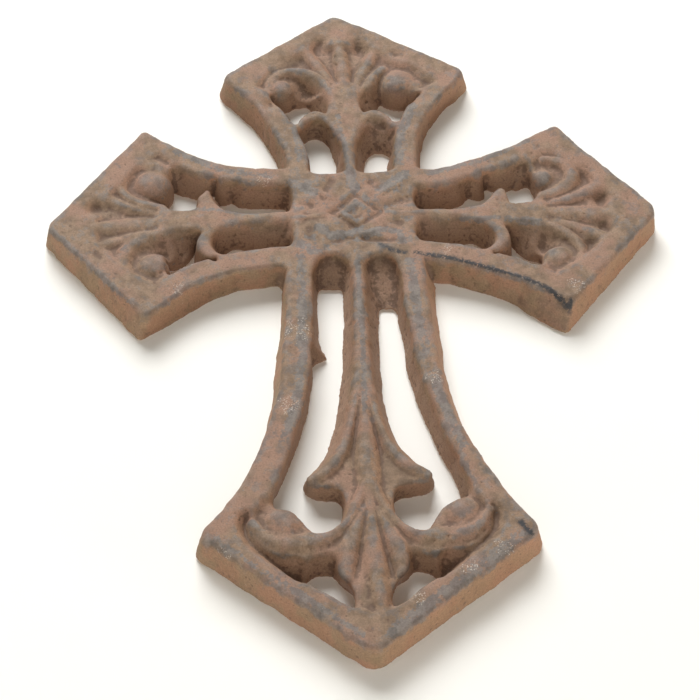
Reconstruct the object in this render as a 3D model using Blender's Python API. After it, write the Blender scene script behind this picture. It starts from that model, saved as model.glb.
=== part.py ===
# Cast iron wall cross, open work, cast in one piece with a flat back.
# The plan is drawn lying down, X to the right, Y up the cross and Z out of the back face.
# An empty turns it upright: the back lies in the plane Y = 0 and the front looks along -Y.
import math

import bmesh
import bpy
from mathutils import Matrix, Vector

# Driving dimensions, in metres
THICKNESS = 0.0076           # back face to the top of the ribs
EDGE_BREAK = 0.0007          # worn, rounded edge between the face and every wall
CHEVRON_WIDTH = 0.0058       # rib along the pointed end of a short arm
STEM_HALF = 0.0015           # half width of the rib down the middle of a short arm, at the face
FLOOR = 0.0046               # height of the sunk ground at the end of a short arm
RELIEF_ROOT = 0.0021         # depth at which raised ornament is buried in the ground
PAST = 0.0010                # how far a cutter runs past a face
BACK_STEP = 0.00005          # height of the upright foot of an opening, which keeps clear of the back
ROOM_SHARE = 0.7             # share of the free room that a moved loop may take up


def mm(*points):
    """Points of the plan, written in millimetres."""
    return [(u * 0.001, v * 0.001) for u, v in points]


# One entry for each arm. u runs out from the centre and v to the left of that direction.
# face and back hold the edge at the two levels: the tip and the corners are where the straight
# edges would meet, and a flank is the side of the arm from its neck out to the corner.
# axis is how far the middle rib lies to the left, at the centre and at the tip. rounding is the
# radius of the tip, then of the corners. plate is where the solid square at the crossing ends.
# Where a value belongs to one side of the arm, the right side comes first: rims are the widths
# of the ribs at the face, slot_end where the slots end at the back, stem_back and gap_back how far
# the middle rib reaches there beside the slot and beside the gap, and rim_draft how much the rims
# widen. ear_out and ear_in are the half axes of the ear's arch, and set_in is how far the volutes
# sit back.
ARMS = {
    "top": {
        "turn": 90, "axis": (-0.0008, 0.0018), "rounding": (0.0030, 0.0024), "plate": 0.0154,
        "rims": (0.0050, 0.0052), "slot_end": (0.0286, 0.0346), "stem_back": (0.0036, 0.0034),
        "gap_back": (0.0090, 0.0076), "rim_draft": (0.0019, 0.0004),
        "ear_out": (0.0116, 0.0059), "ear_in": (0.0084, 0.0049), "set_in": 0.0005,
        "face": {
            "corners": mm((75.9, 1.8), (52.2, 32.3), (52.6, -32.2)),
            "left": mm((18, 15.6), (22, 15.5), (25, 16.1), (30.5, 18.5), (34.5, 20.3), (39, 22.4),
                       (43, 24.8), (48, 28.8)),
            "right": mm((18, 16.8), (22, 16.6), (27, 17.2), (31, 18.4), (34, 19.6), (38.5, 21.8),
                        (42, 24.0), (48, 28.8)),
        },
        "back": {
            "corners": mm((76.4, 1.8), (53.0, 34.2), (53.8, -33.9)),
            "left": mm((19, 17.6), (24, 17.9), (27.7, 18.9), (31, 20.4), (37.4, 23.4), (42, 26.5),
                       (48, 30.6)),
            "right": mm((18, 18.2), (24, 18.4), (28, 19.0), (32, 19.8), (36, 21.2), (41, 23.6),
                        (45.6, 26.4), (48, 29.2)),
        },
    },
    "left": {
        "turn": 180, "axis": (-0.0014, 0.0010), "rounding": (0.0030, 0.0012), "plate": 0.0146,
        "rims": (0.0052, 0.0062), "slot_end": (0.0330, 0.0330), "stem_back": (0.0034, 0.0066),
        "gap_back": (0.0048, 0.0098), "rim_draft": (0.0029, 0.0008),
        "ear_out": (0.0118, 0.0082), "ear_in": (0.0086, 0.0060), "set_in": -0.0006,
        "face": {
            "corners": mm((75.9, 1.2), (50.6, 31.5), (52.5, -32.4)),
            "left": mm((18, 15.6), (22, 16.3), (28, 17.3), (32, 18.5), (36, 19.9), (40, 22.0),
                       (44, 25.1), (48, 28.7)),
            "right": mm((18, 17.4), (22, 17.5), (25, 17.8), (30, 18.6), (35, 20.1), (40, 22.8),
                        (44, 25.6), (48, 28.5)),
        },
        "back": {
            "corners": mm((77.2, 0.6), (52.5, 33.4), (53.0, -33.8)),
            "left": mm((18, 16.3), (22, 16.8), (28.2, 17.9), (31.2, 18.8), (34.3, 20.1), (37.4, 22.3),
                       (40.4, 24.5), (45.5, 28.1), (48.6, 30.2)),
            "right": mm((18.5, 19.0), (25, 19.3), (30, 20.1), (35, 21.6), (40, 24.3), (44, 27.0),
                        (48, 29.8)),
        },
    },
    "right": {
        "turn": 0, "axis": (0.0010, -0.0010), "rounding": (0.0045, 0.0013), "plate": 0.0154,
        "rims": (0.0062, 0.0053), "slot_end": (0.0330, 0.0330), "stem_back": (0.0066, 0.0034),
        "gap_back": (0.0098, 0.0048), "rim_draft": (0.0008, 0.0031),
        "ear_out": (0.0118, 0.0082), "ear_in": (0.0086, 0.0060), "set_in": 0.0,
        "face": {
            "corners": mm((76.4, -0.6), (53.8, 30.4), (51.8, -30.0)),
            "left": mm((18, 15.7), (22, 15.8), (26, 16.8), (29, 17.9), (33, 19.5), (37, 21.1),
                       (41, 22.7), (45, 25.1), (49, 28.0)),
            "right": mm((18, 15.0), (21, 15.5), (25, 16.4), (30, 18.1), (35, 20.3), (40, 22.7),
                        (45, 25.6), (48.5, 28.0)),
        },
        "back": {
            "corners": mm((77.3, -0.3), (54.2, 32.0), (50.6, -34.6)),
            "left": mm((18, 17.2), (22, 17.3), (26, 18.2), (33, 20.9), (41, 24.2), (49, 29.5)),
            "right": mm((19.8, 16.8), (23, 17.1), (26, 18.4), (29, 19.6), (32, 20.8), (35, 22.4),
                        (38.1, 24.2), (40.1, 26.0), (42.2, 28.6), (44.2, 30.4), (47, 32.6)),
        },
    },
    "foot": {
        "turn": -90, "axis": (0.0006, -0.0006), "rounding": (0.0040, 0.0032),
        "face": {
            "corners": mm((127.5, -0.9), (96.6, 37.6), (95.7, -37.6)),
            "left": mm((18, 16.3), (30, 17.0), (40, 17.5), (50, 18.0), (57, 19.0), (63, 20.3),
                       (70, 22.6), (76, 25.3), (81, 27.5), (87, 30.8), (92, 33.9)),
            "right": mm((18, 16.3), (30, 16.9), (40, 17.4), (50, 18.3), (57, 19.5), (63, 20.9),
                        (70, 22.8), (76, 25.2), (81, 27.5), (87, 30.8), (91.5, 34.2)),
        },
        "back": {
            "corners": mm((128.3, -0.9), (97.4, 38.8), (96.2, -39.8)),
            "left": mm((18, 19.6), (28, 19.2), (38.6, 20.0), (48.8, 20.3), (54, 21.0), (59, 22.0),
                       (64, 23.2), (70, 25.2), (76, 28.0), (81, 30.6), (87, 33.8), (92, 36.2)),
            "right": mm((18, 17.8), (28, 18.4), (38.6, 19.8), (43.7, 20.3), (54, 20.9), (59, 21.9),
                        (64, 22.8), (69, 24.5), (74, 26.5), (79.4, 29.0), (85, 32.0), (91, 36.0)),
        },
    },
}
SHORT_ARMS = ("top", "left", "right")

# Short arm ornament, u and v from the arm's own axis
EAR_CENTRE = (0.0270, 0.0076)
GAP_OUT = 0.0470             # outer end of the small gap between the ear and the volute
BALL = {"at": (0.0505, 0.0143), "radius": 0.0052, "top": 0.0073}
VOLUTE = {
    "centre": (0.0503, 0.0130), "start": 0.0096, "end": 0.0050, "turn": 118, "flatten": 0.92,
    "half": 0.0013, "top": 0.0073,
}
LOBE_TOP = 0.0071
LOBE_ROOT = 0.0029
LOBES = (
    {"at": (0.0560, 0.0000), "half_length": 0.0105, "half_width": 0.0031, "turn": 0},
    {"at": (0.0555, 0.0062), "half_length": 0.0085, "half_width": 0.0024, "turn": 38},
    {"at": (0.0555, -0.0062), "half_length": 0.0085, "half_width": 0.0024, "turn": -38},
)

# Foot ornament
FOOT_BALL = {"at": (0.0932, 0.0202), "radius": 0.0061, "top": 0.0080}
FOOT_GROOVES = (             # beside the swelling stem, behind the ball, above the rim, on the palmette
    {"at": (0.0745, 0.0023), "half_length": 0.0110, "half_width": 0.0010, "floor": 0.0062, "turn": 5},
    {"at": (0.0932, 0.0280), "half_length": 0.0050, "half_width": 0.0014, "floor": 0.0046, "turn": 0},
    {"at": (0.1022, 0.0218), "half_length": 0.0070, "half_width": 0.0018, "floor": 0.0036, "turn": -50},
    {"at": (0.1030, 0.0030), "half_length": 0.0065, "half_width": 0.0008, "floor": 0.0060, "turn": 8},
)
GROOVE_TOP = 0.0102          # top of the cutters that make the grooves

# Openings of the long arm on the plan, in millimetres: x and y at the face, then at the back.
# They run down the middle rib and its ear and back up the rim, or round the gap at the point.
# The upper end slopes, and leaves a web in the crotch. The bump on the left rim is a casting lump.
LONG_OPENINGS = {
    "left": (
        (-1.0, -12.6, -3.2, -18.6), (-1.2, -25.0, -3.4, -28.0), (-1.4, -40.0, -4.2, -40.0),
        (-1.9, -50.0, -5.4, -50.0), (-2.8, -58.0, -6.4, -58.0), (-4.0, -65.0, -7.8, -65.0),
        (-5.6, -71.0, -9.8, -71.2), (-7.8, -75.6, -12.8, -75.2), (-10.8, -78.8, -14.6, -77.4),
        (-13.6, -80.0, -14.9, -79.4), (-14.0, -81.6, -13.8, -81.6), (-12.0, -82.6, -11.0, -82.8),
        (-7.2, -82.9, -7.4, -83.1), (-5.2, -84.6, -5.8, -84.8), (-4.8, -88.5, -6.0, -88.5),
        (-5.8, -92.4, -8.0, -92.0), (-8.2, -95.4, -10.4, -93.6), (-11.4, -96.3, -12.2, -93.9),
        (-13.6, -95.2, -13.8, -92.6), (-15.4, -92.0, -15.6, -90.0), (-18.2, -89.0, -18.0, -87.6),
        (-22.4, -88.4, -21.4, -86.2), (-20.3, -81.0, -20.6, -80.6), (-18.0, -75.0, -18.2, -74.4),
        (-16.0, -68.0, -15.8, -68.4), (-14.3, -61.0, -13.9, -61.0), (-13.0, -55.0, -12.5, -55.0),
        (-12.0, -48.0, -11.6, -48.0), (-11.7, -43.5, -11.3, -43.4), (-11.5, -40.5, -8.6, -40.9),
        (-11.4, -37.0, -9.7, -37.0), (-11.2, -28.0, -9.7, -28.0), (-10.9, -12.6, -9.5, -18.6),
    ),
    "right": (
        (2.2, -12.6, 5.4, -26.0), (2.1, -25.0, 5.5, -31.0), (2.0, -40.0, 5.1, -40.0),
        (2.2, -50.0, 4.9, -50.0), (2.9, -58.0, 5.8, -58.0), (4.2, -65.0, 7.2, -65.0),
        (5.8, -71.0, 10.0, -71.0), (8.2, -75.2, 13.4, -74.4), (11.2, -77.9, 15.2, -76.8),
        (14.0, -79.1, 15.5, -79.2), (14.5, -81.0, 14.2, -81.4), (12.4, -82.3, 11.0, -82.4),
        (7.8, -82.7, 7.2, -82.8), (5.6, -84.4, 5.6, -84.8), (5.0, -88.4, 6.1, -88.8),
        (5.9, -92.2, 8.4, -92.2), (8.4, -95.2, 10.4, -93.6), (11.4, -96.3, 12.2, -93.6),
        (13.4, -95.0, 13.6, -92.2), (15.2, -91.4, 15.0, -89.8), (17.6, -88.5, 17.4, -87.2),
        (24.2, -86.4, 21.2, -85.4), (22.0, -79.0, 20.3, -79.4), (20.3, -74.0, 18.4, -74.2),
        (17.8, -66.0, 15.8, -66.4), (16.0, -59.0, 13.6, -59.0), (14.6, -53.0, 12.2, -53.0),
        (13.3, -46.0, 11.0, -46.0), (12.3, -38.0, 10.5, -38.0), (11.6, -30.0, 9.9, -31.0),
        (10.8, -12.6, 9.5, -26.0),
    ),
    "left_foot": (
        (-4.3, -116.6, -3.6, -115.9), (-9.0, -113.0, -8.6, -112.4), (-14.0, -109.4, -13.6, -109.0),
        (-17.5, -106.4, -15.2, -106.4), (-16.6, -103.2, -14.6, -104.2), (-12.4, -101.0, -12.6, -103.2),
        (-8.2, -100.4, -9.2, -103.0), (-7.0, -102.2, -8.4, -103.8), (-8.0, -105.2, -7.3, -105.3),
        (-7.0, -107.8, -5.6, -107.0), (-5.0, -109.8, -4.2, -109.0), (-4.3, -113.0, -3.8, -112.0),
    ),
    "right_foot": (
        (3.6, -116.4, 3.4, -115.8), (7.0, -114.3, 7.0, -113.4), (10.0, -111.4, 10.0, -110.7),
        (13.0, -108.9, 13.2, -108.2), (16.6, -106.3, 14.4, -106.0), (16.8, -103.2, 13.8, -103.9),
        (12.6, -100.8, 12.2, -103.0), (8.8, -99.8, 9.4, -102.5), (7.4, -101.6, 8.7, -103.3),
        (8.2, -104.6, 7.0, -105.1), (7.3, -107.2, 5.2, -106.2), (5.2, -109.0, 4.0, -107.4),
        (3.9, -111.0, 3.5, -110.0),
    ),
}

# Crossing ornament: a small diamond in a shallow ring
DIAMOND = {"half": 0.0052, "root": 0.0040, "edge": 0.0006, "ring": 0.0078, "ring_depth": 0.0011}

RUST = (0.235, 0.135, 0.092, 1.0)


def remove_everything():
    for item in list(bpy.data.objects):
        bpy.data.objects.remove(item, do_unlink=True)


def mix(a, b, share):
    return a + (b - a) * share


def along(path, u):
    """The v of a path of (u, v) points at one u, straight between the points."""
    for (u1, v1), (u2, v2) in zip(path, path[1:]):
        if u <= u2:
            break
    return mix(v1, v2, (u - u1) / (u2 - u1))


def axis_offset(arm, u):
    near, far = arm["axis"]
    return mix(near, far, u / arm["face"]["corners"][0][0])


def flank(arm, side, u):
    """Outer edge of an arm at the face."""
    return along(arm["face"]["left" if side > 0 else "right"], u)


def rim_inside(arm, side, u):
    reach = 0.002
    slope = (flank(arm, side, u + reach) - flank(arm, side, u - reach)) / (2 * reach)
    return flank(arm, side, u) - arm["rims"][side > 0] * math.sqrt(1 + slope * slope)


def on_plan(arm, point):
    turn = math.radians(arm["turn"])
    u, v = point
    return (u * math.cos(turn) - v * math.sin(turn), u * math.sin(turn) + v * math.cos(turn))


def steps(start, end, count):
    return [mix(start, end, i / count) for i in range(count + 1)]


def arc(centre, radii, start, end, count):
    angles = [math.radians(a) for a in steps(start, end, count)]
    return [(centre[0] + radii[0] * math.cos(a), centre[1] + radii[1] * math.sin(a)) for a in angles]


def rounded(loop):
    """Cuts every corner of a closed loop once, at a quarter of each edge."""
    points = []
    for a, b in zip(loop, loop[1:] + loop[:1]):
        points.append((a[0] * 0.75 + b[0] * 0.25, a[1] * 0.75 + b[1] * 0.25))
        points.append((a[0] * 0.25 + b[0] * 0.75, a[1] * 0.25 + b[1] * 0.75))
    return points


def filleted(before, corner, after, radius, count=4):
    """The arc that rounds one corner between two straight runs."""
    p = Vector(corner)
    a, b = (Vector(before) - p).normalized(), (Vector(after) - p).normalized()
    half = a.angle(b) / 2
    reach = radius / math.tan(half)
    centre = p + (a + b).normalized() * (radius / math.sin(half))
    first, last = p + a * reach - centre, p + b * reach - centre
    sweep = first.angle_signed(last)
    return [tuple(centre + Matrix.Rotation(-sweep * i / count, 2) @ first) for i in range(count + 1)]


def area(loop):
    return sum(a[0] * b[1] - b[0] * a[1] for a, b in zip(loop, loop[1:] + loop[:1])) / 2


def outward(loop, i):
    """Outward direction at one corner of a counter-clockwise loop."""
    here = Vector(loop[i])
    a = (here - Vector(loop[i - 1])).normalized()
    b = (Vector(loop[(i + 1) % len(loop)]) - here).normalized()
    return Vector((a.y + b.y, -a.x - b.x)).normalized()


def room(loop, i, direction):
    """Radius of the largest circle that touches point i and lies on the given side of the loop."""
    here = Vector(loop[i])
    radius = 1.0
    for a, b in zip(loop, loop[1:] + loop[:1]):
        for share in (0.0, 0.25, 0.5, 0.75):
            gap = Vector(a).lerp(Vector(b), share) - here
            ahead = direction.dot(gap)
            if ahead > 1e-6:
                radius = min(radius, gap.length_squared / (2 * ahead))
    return radius


def offset(loop, distance):
    """Moves a counter-clockwise loop outwards, or inwards when negative, without crossing itself."""
    moved = []
    for i, point in enumerate(loop):
        direction = outward(loop, i) * (1 if distance > 0 else -1)
        step = min(abs(distance), ROOM_SHARE * room(loop, i, direction))
        moved.append(tuple(Vector(point) + direction * step))
    return moved


def stack(levels):
    """A closed solid through loops of equal length, given as (loop, height) from the back forwards."""
    mesh = bmesh.new()
    rings = [[mesh.verts.new((x, y, z)) for x, y in loop] for loop, z in levels]
    for lower, upper in zip(rings, rings[1:]):
        for i in range(len(lower)):
            j = (i + 1) % len(lower)
            mesh.faces.new((lower[i], lower[j], upper[j], upper[i]))
    mesh.faces.new(list(reversed(rings[0])))
    mesh.faces.new(rings[-1])
    mesh.normal_update()
    bmesh.ops.triangulate(mesh, faces=mesh.faces[:], ngon_method="EAR_CLIP")
    bmesh.ops.recalc_face_normals(mesh, faces=mesh.faces[:])
    return mesh


def plan_loop(arm, loop):
    plan = [on_plan(arm, p) for p in loop]
    if area(plan) < 0:
        plan.reverse()
    return plan


def opening(face, back):
    """A cutter through the casting between two loops, with a broken edge at the face."""
    slope = EDGE_BREAK / THICKNESS
    upper = [tuple(Vector(a).lerp(Vector(b), slope)) for a, b in zip(face, back)]
    return stack([
        (back, -PAST),
        (back, BACK_STEP),
        (upper, THICKNESS - EDGE_BREAK),
        (offset(face, EDGE_BREAK), THICKNESS + PAST * 0.2),
        (offset(face, EDGE_BREAK), THICKNESS + PAST),
    ])


def pocket(arm, loop, floor, wall):
    """A cutter from the face down to a sunk ground."""
    plan = plan_loop(arm, loop)
    return stack([
        (offset(plan, -wall), floor),
        (plan, THICKNESS),
        (offset(plan, wall * 0.3), THICKNESS + PAST),
    ])


def ridge(arm, path, half, top):
    """A rounded rib that follows a path, buried in the ground below it."""
    profile = [(-half, RELIEF_ROOT), (-half, top - half), (-half * 0.5, top), (half * 0.5, top),
               (half, top - half), (half, RELIEF_ROOT)]
    points = [Vector(on_plan(arm, p)) for p in path]
    mesh = bmesh.new()
    rings = []
    for i, point in enumerate(points):
        ahead = (points[min(i + 1, len(points) - 1)] - points[max(i - 1, 0)]).normalized()
        across = Vector((ahead.y, -ahead.x))
        spots = [point + across * side for side, _ in profile]
        rings.append([mesh.verts.new((s.x, s.y, z)) for s, (_, z) in zip(spots, profile)])
    for a, b in zip(rings, rings[1:]):
        for i in range(len(profile)):
            j = (i + 1) % len(profile)
            mesh.faces.new((a[i], a[j], b[j], b[i]))
    mesh.faces.new(list(reversed(rings[0])))
    mesh.faces.new(rings[-1])
    bmesh.ops.recalc_face_normals(mesh, faces=mesh.faces[:])
    return mesh


def boss(arm, at, radii, height, low, turn=0.0, sides=10):
    """A rounded boss or lobe: a ball stretched to three radii, from low up to height."""
    mesh = bmesh.new()
    bmesh.ops.create_uvsphere(mesh, u_segments=sides, v_segments=6, radius=1.0)
    x, y = on_plan(arm, at)
    middle, tall = (height + low) / 2, (height - low) / 2
    spin = Matrix.Rotation(math.radians(arm["turn"] + turn), 4, "Z")
    place = Matrix.Translation((x, y, middle)) @ spin @ Matrix.Diagonal((radii[0], radii[1], tall, 1))
    bmesh.ops.transform(mesh, matrix=place, verts=mesh.verts[:])
    return mesh


def join(name, meshes):
    """One hidden helper object that holds several closed bodies."""
    whole = bmesh.new()
    for part in meshes:
        data = bpy.data.meshes.new("piece")
        part.to_mesh(data)
        part.free()
        whole.from_mesh(data)
        bpy.data.meshes.remove(data)
    data = bpy.data.meshes.new(name)
    whole.to_mesh(data)
    whole.free()
    helper = bpy.data.objects.new(name, data)
    bpy.context.scene.collection.objects.link(helper)
    helper.hide_render = True
    helper.display_type = "WIRE"
    return helper


def arm_outline(arm, level):
    """The edge of one arm from its right armpit round the tip to its left armpit."""
    tip, left, right = arm[level]["corners"]
    tip_radius, corner_radius = arm["rounding"]
    flank_count = 11
    paths = (arm[level]["right"], arm[level]["left"])
    runs = [[(u, along(path, u)) for u in steps(path[0][0], path[-1][0], flank_count)] for path in paths]
    outline = [(u, -v) for u, v in runs[0]]
    outline += filleted(outline[-1], right, tip, corner_radius)
    outline += filleted(right, tip, left, tip_radius)
    return outline + filleted(tip, left, runs[1][-1], corner_radius) + runs[1][::-1]


def blank():
    """The whole cross before anything is cut: face, broken edge and drafted outer wall."""
    edges = {}
    for level in ("face", "back"):
        edges[level] = []
        for name in ("right", "top", "left", "foot"):
            edges[level] += [on_plan(ARMS[name], p) for p in arm_outline(ARMS[name], level)]
    return stack([
        (edges["back"], 0.0),
        (edges["face"], THICKNESS - EDGE_BREAK),
        (offset(edges["face"], -EDGE_BREAK), THICKNESS),
    ])


def beside_axis(arm, side, points):
    return [(u, side * v + axis_offset(arm, u)) for u, v in points]


def beside_rim(arm, side, path, draft):
    """A path whose points are held back at the inner edge of the rim."""
    return [(u, side * min(side * v, rim_inside(arm, side, u) - draft)) for u, v in path]


def arm_slot(arm, side, depth):
    """The long gap between stem and rim. depth is 0 at the face and 1 at the back."""
    right_or_left = side > 0
    length, width = arm["ear_in"]
    end = mix(EAR_CENTRE[0] + length, arm["slot_end"][right_or_left], depth)
    start = arm["plate"] + 0.0016 * depth
    stem_v = mix(STEM_HALF, arm["stem_back"][right_or_left], depth)
    stem = [(u, stem_v) for u in steps(start, end - length - 0.001, 3)]
    centre = (end - length, EAR_CENTRE[1] + 0.0005 * depth)
    arch = arc(centre, (length, mix(width, 0.0046, depth)), -55, 50, 5)
    draft = arm["rim_draft"][right_or_left] * depth
    loop = beside_rim(arm, side, beside_axis(arm, side, stem + arch), draft)
    rim = steps(loop[-1][0] - 0.001, start, 4)
    return loop + [(u, side * (rim_inside(arm, side, u) - draft)) for u in rim]


def arm_gap(arm, side, depth):
    """The small gap between ear, rim and volute."""
    right_or_left = side > 0
    length, width = arm["ear_out"]
    arch = arc(EAR_CENTRE, (length + 0.0010 * depth, width + 0.0005 * depth), 55, -28, 5)
    beside = mix(0.0034, arm["gap_back"][right_or_left], depth)
    stem = [(0.0420, beside), (GAP_OUT - 0.0008, beside + 0.0007), (GAP_OUT, max(0.0085, beside + 0.0015)),
            (GAP_OUT - 0.0003, 0.0125)]
    draft = 0.0002 + (0.0006 + arm["rim_draft"][right_or_left]) * depth
    loop = beside_rim(arm, side, beside_axis(arm, side, arch + stem), draft + 0.0005)
    rim = steps(0.0460, arch[0][0] + 0.0005, 4)
    return loop + [(u, side * (rim_inside(arm, side, u) - draft)) for u in rim]


def end_pocket(arm):
    """The sunk ground inside the pointed end of a short arm."""
    near, wide = GAP_OUT, 0.0500
    points, tips = [], []
    tip, left, right = arm["face"]["corners"]
    for side, corner in ((-1, right), (1, left)):
        run, rise = tip[0] - corner[0], abs(corner[1])
        inner_tip = tip[0] - CHEVRON_WIDTH * math.hypot(run, rise) / rise
        bend = (inner_tip - wide) * rise / run
        points.append([(near, side * rim_inside(arm, side, near)), (wide, side * bend)])
        tips.append(inner_tip)
    return points[0] + [(sum(tips) / 2, tip[1])] + points[1][::-1]


def volute_path(arm, side):
    """A spiral from the stem, round the outer side of the ball and back over it."""
    u, v = VOLUTE["centre"]
    shift = axis_offset(arm, u)
    path = []
    count = 12
    for i, angle in enumerate(steps(-VOLUTE["turn"], VOLUTE["turn"], count)):
        radius = VOLUTE["start"] + (VOLUTE["end"] - VOLUTE["start"]) * i / count
        a = math.radians(angle)
        across = v + radius * math.sin(a) * VOLUTE["flatten"]
        path.append((u - arm["set_in"] + radius * math.cos(a), shift + side * across))
    return path


def square(half):
    """A square that stands on one corner."""
    return [(half, 0.0), (0.0, half), (-half, 0.0), (0.0, -half)]


def ornament():
    """Volutes, balls and palmettes of the four arms, and the diamond on the crossing."""
    pieces = []
    for name in SHORT_ARMS:
        arm = ARMS[name]
        shift = axis_offset(arm, BALL["at"][0])
        for side in (-1, 1):
            pieces.append(ridge(arm, volute_path(arm, side), VOLUTE["half"], VOLUTE["top"]))
            u, v = BALL["at"]
            at = (u - arm["set_in"], side * v + shift)
            pieces.append(boss(arm, at, (BALL["radius"],) * 2, BALL["top"], RELIEF_ROOT, sides=12))
        for lobe in LOBES:
            u, v = lobe["at"]
            at = (u, v + axis_offset(arm, u))
            size = (lobe["half_length"], lobe["half_width"])
            pieces.append(boss(arm, at, size, LOBE_TOP, LOBE_ROOT, lobe["turn"]))
    diamond = square(DIAMOND["half"])
    pieces.append(stack([
        (diamond, DIAMOND["root"]),
        (diamond, THICKNESS - DIAMOND["edge"]),
        (offset(diamond, -DIAMOND["edge"]), THICKNESS),
    ]))
    return pieces


def sunk_work():
    """Cutters that stop inside the metal: the arm ends, the ring round the diamond and the grooves."""
    cutters = [pocket(ARMS[name], end_pocket(ARMS[name]), FLOOR, 0.0012) for name in SHORT_ARMS]
    ring = square(DIAMOND["ring"])
    cutters.append(pocket(ARMS["right"], ring, THICKNESS - DIAMOND["ring_depth"], 0.0005))
    foot = ARMS["foot"]
    for side in (-1, 1):
        for groove in FOOT_GROOVES:
            u, v = groove["at"]
            at = (u, side * v + axis_offset(foot, u))
            size = (groove["half_length"], groove["half_width"])
            cutters.append(boss(foot, at, size, GROOVE_TOP, groove["floor"], side * groove["turn"]))
    return cutters


def foot_volutes():
    """Raised ends of the foot's two volutes."""
    foot = ARMS["foot"]
    u, v = FOOT_BALL["at"]
    pieces = []
    for side in (-1, 1):
        size = (FOOT_BALL["radius"],) * 2
        pieces.append(boss(foot, (u, side * v), size, FOOT_BALL["top"], RELIEF_ROOT, sides=12))
    return pieces


def through_cuts():
    cutters = []
    for side in (-1, 1):
        for name in SHORT_ARMS:
            arm = ARMS[name]
            for hole in (arm_slot, arm_gap):
                face, back = [plan_loop(arm, rounded(hole(arm, side, depth))) for depth in (0, 1)]
                cutters.append(opening(face, back))
    for rows in LONG_OPENINGS.values():
        face, back = [rounded(mm(*[row[i:i + 2] for row in rows])) for i in (0, 2)]
        if area(face) < 0:
            face.reverse()
            back.reverse()
        cutters.append(opening(face, back))
    return cutters


def iron():
    material = bpy.data.materials.new("rusted_cast_iron")
    material.use_nodes = True
    shader = material.node_tree.nodes["Principled BSDF"]
    shader.inputs["Base Color"].default_value = RUST
    shader.inputs["Roughness"].default_value = 0.78
    shader.inputs["Metallic"].default_value = 0.15
    return material


def boolean(target, name, operation, helper):
    cut = target.modifiers.new(name, "BOOLEAN")
    cut.operation = operation
    cut.solver = "EXACT"
    cut.use_self = operation == "UNION"
    cut.object = helper


def build():
    remove_everything()
    upright = bpy.data.objects.new("upright", None)
    upright.rotation_euler = (math.radians(90), 0, 0)
    bpy.context.scene.collection.objects.link(upright)

    data = bpy.data.meshes.new("cross")
    body = blank()
    body.to_mesh(data)
    body.free()
    cross = bpy.data.objects.new("cross", data)
    cross.data.materials.append(iron())
    bpy.context.scene.collection.objects.link(cross)

    helpers = (
        ("sunk_work", "DIFFERENCE", sunk_work()),
        ("ornament", "UNION", ornament() + foot_volutes()),
        ("through_cuts", "DIFFERENCE", through_cuts()),
    )
    cross.parent = upright
    for name, operation, meshes in helpers:
        helper = join(name, meshes)
        helper.parent = upright
        boolean(cross, name, operation, helper)


build()
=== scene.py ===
import math

import bpy
import numpy as np
from mathutils import Matrix, Vector


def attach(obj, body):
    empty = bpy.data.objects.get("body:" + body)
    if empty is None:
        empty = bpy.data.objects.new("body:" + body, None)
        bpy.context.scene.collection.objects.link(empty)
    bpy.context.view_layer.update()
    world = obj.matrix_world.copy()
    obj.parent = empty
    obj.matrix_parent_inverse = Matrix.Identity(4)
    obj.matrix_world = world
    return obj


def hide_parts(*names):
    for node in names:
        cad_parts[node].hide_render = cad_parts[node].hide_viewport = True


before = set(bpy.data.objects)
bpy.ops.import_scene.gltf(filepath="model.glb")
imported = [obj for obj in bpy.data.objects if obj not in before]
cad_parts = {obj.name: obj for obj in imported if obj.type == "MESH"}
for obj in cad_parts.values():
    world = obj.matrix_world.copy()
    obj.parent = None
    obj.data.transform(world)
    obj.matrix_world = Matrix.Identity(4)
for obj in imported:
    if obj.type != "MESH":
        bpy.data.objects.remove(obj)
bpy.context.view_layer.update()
print("frame loaded")

# The casting is worked out lying down, in millimetres: X right, Y up the cross, Z out of the back.
casting = {
    "thickness": 7.6,       # back to the tops of the ribs
    "spacing": 0.44,        # plan grid
    "layer": 0.42,          # grid step through the thickness
    "grow": 0.25,           # given back to the outer edge for what the rounding takes
    "edgeBlend": 1.15,      # how far the worn edges are rounded over
    "backBlend": 0.6,       # the same for the edges of the back
    "chevronWidth": 5.8,    # rib along the pointed end of a short arm
    "rimWidth": 5.3,        # what the notches above the side ears leave of the rim
    "rimSlope": 3.0,        # how much wider the rim is there at the back
    "notchSlope": 2.3,      # how much narrower the notch is at the back
    "leafTop": 7.3,         # height of the pointed ears
    "leafSlope": 0.10,
    "floor": 6.0,           # sunk ground in the ends of the short arms
    "bulbGround": 6.2,      # ground between the strands of the long stem
    "footGround": 6.3,      # ground inside the pointed end of the long arm
    "waver": 0.38,          # unevenness of the edges
    "swell": 1.25,          # widening of every ridge
    "drop": 2.5,            # how far a ridge falls from its crest to its foot
    "sink": 0.80,           # share of the depth of every hollow
    "spread": 1.20,         # widening of every hollow
}

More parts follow.
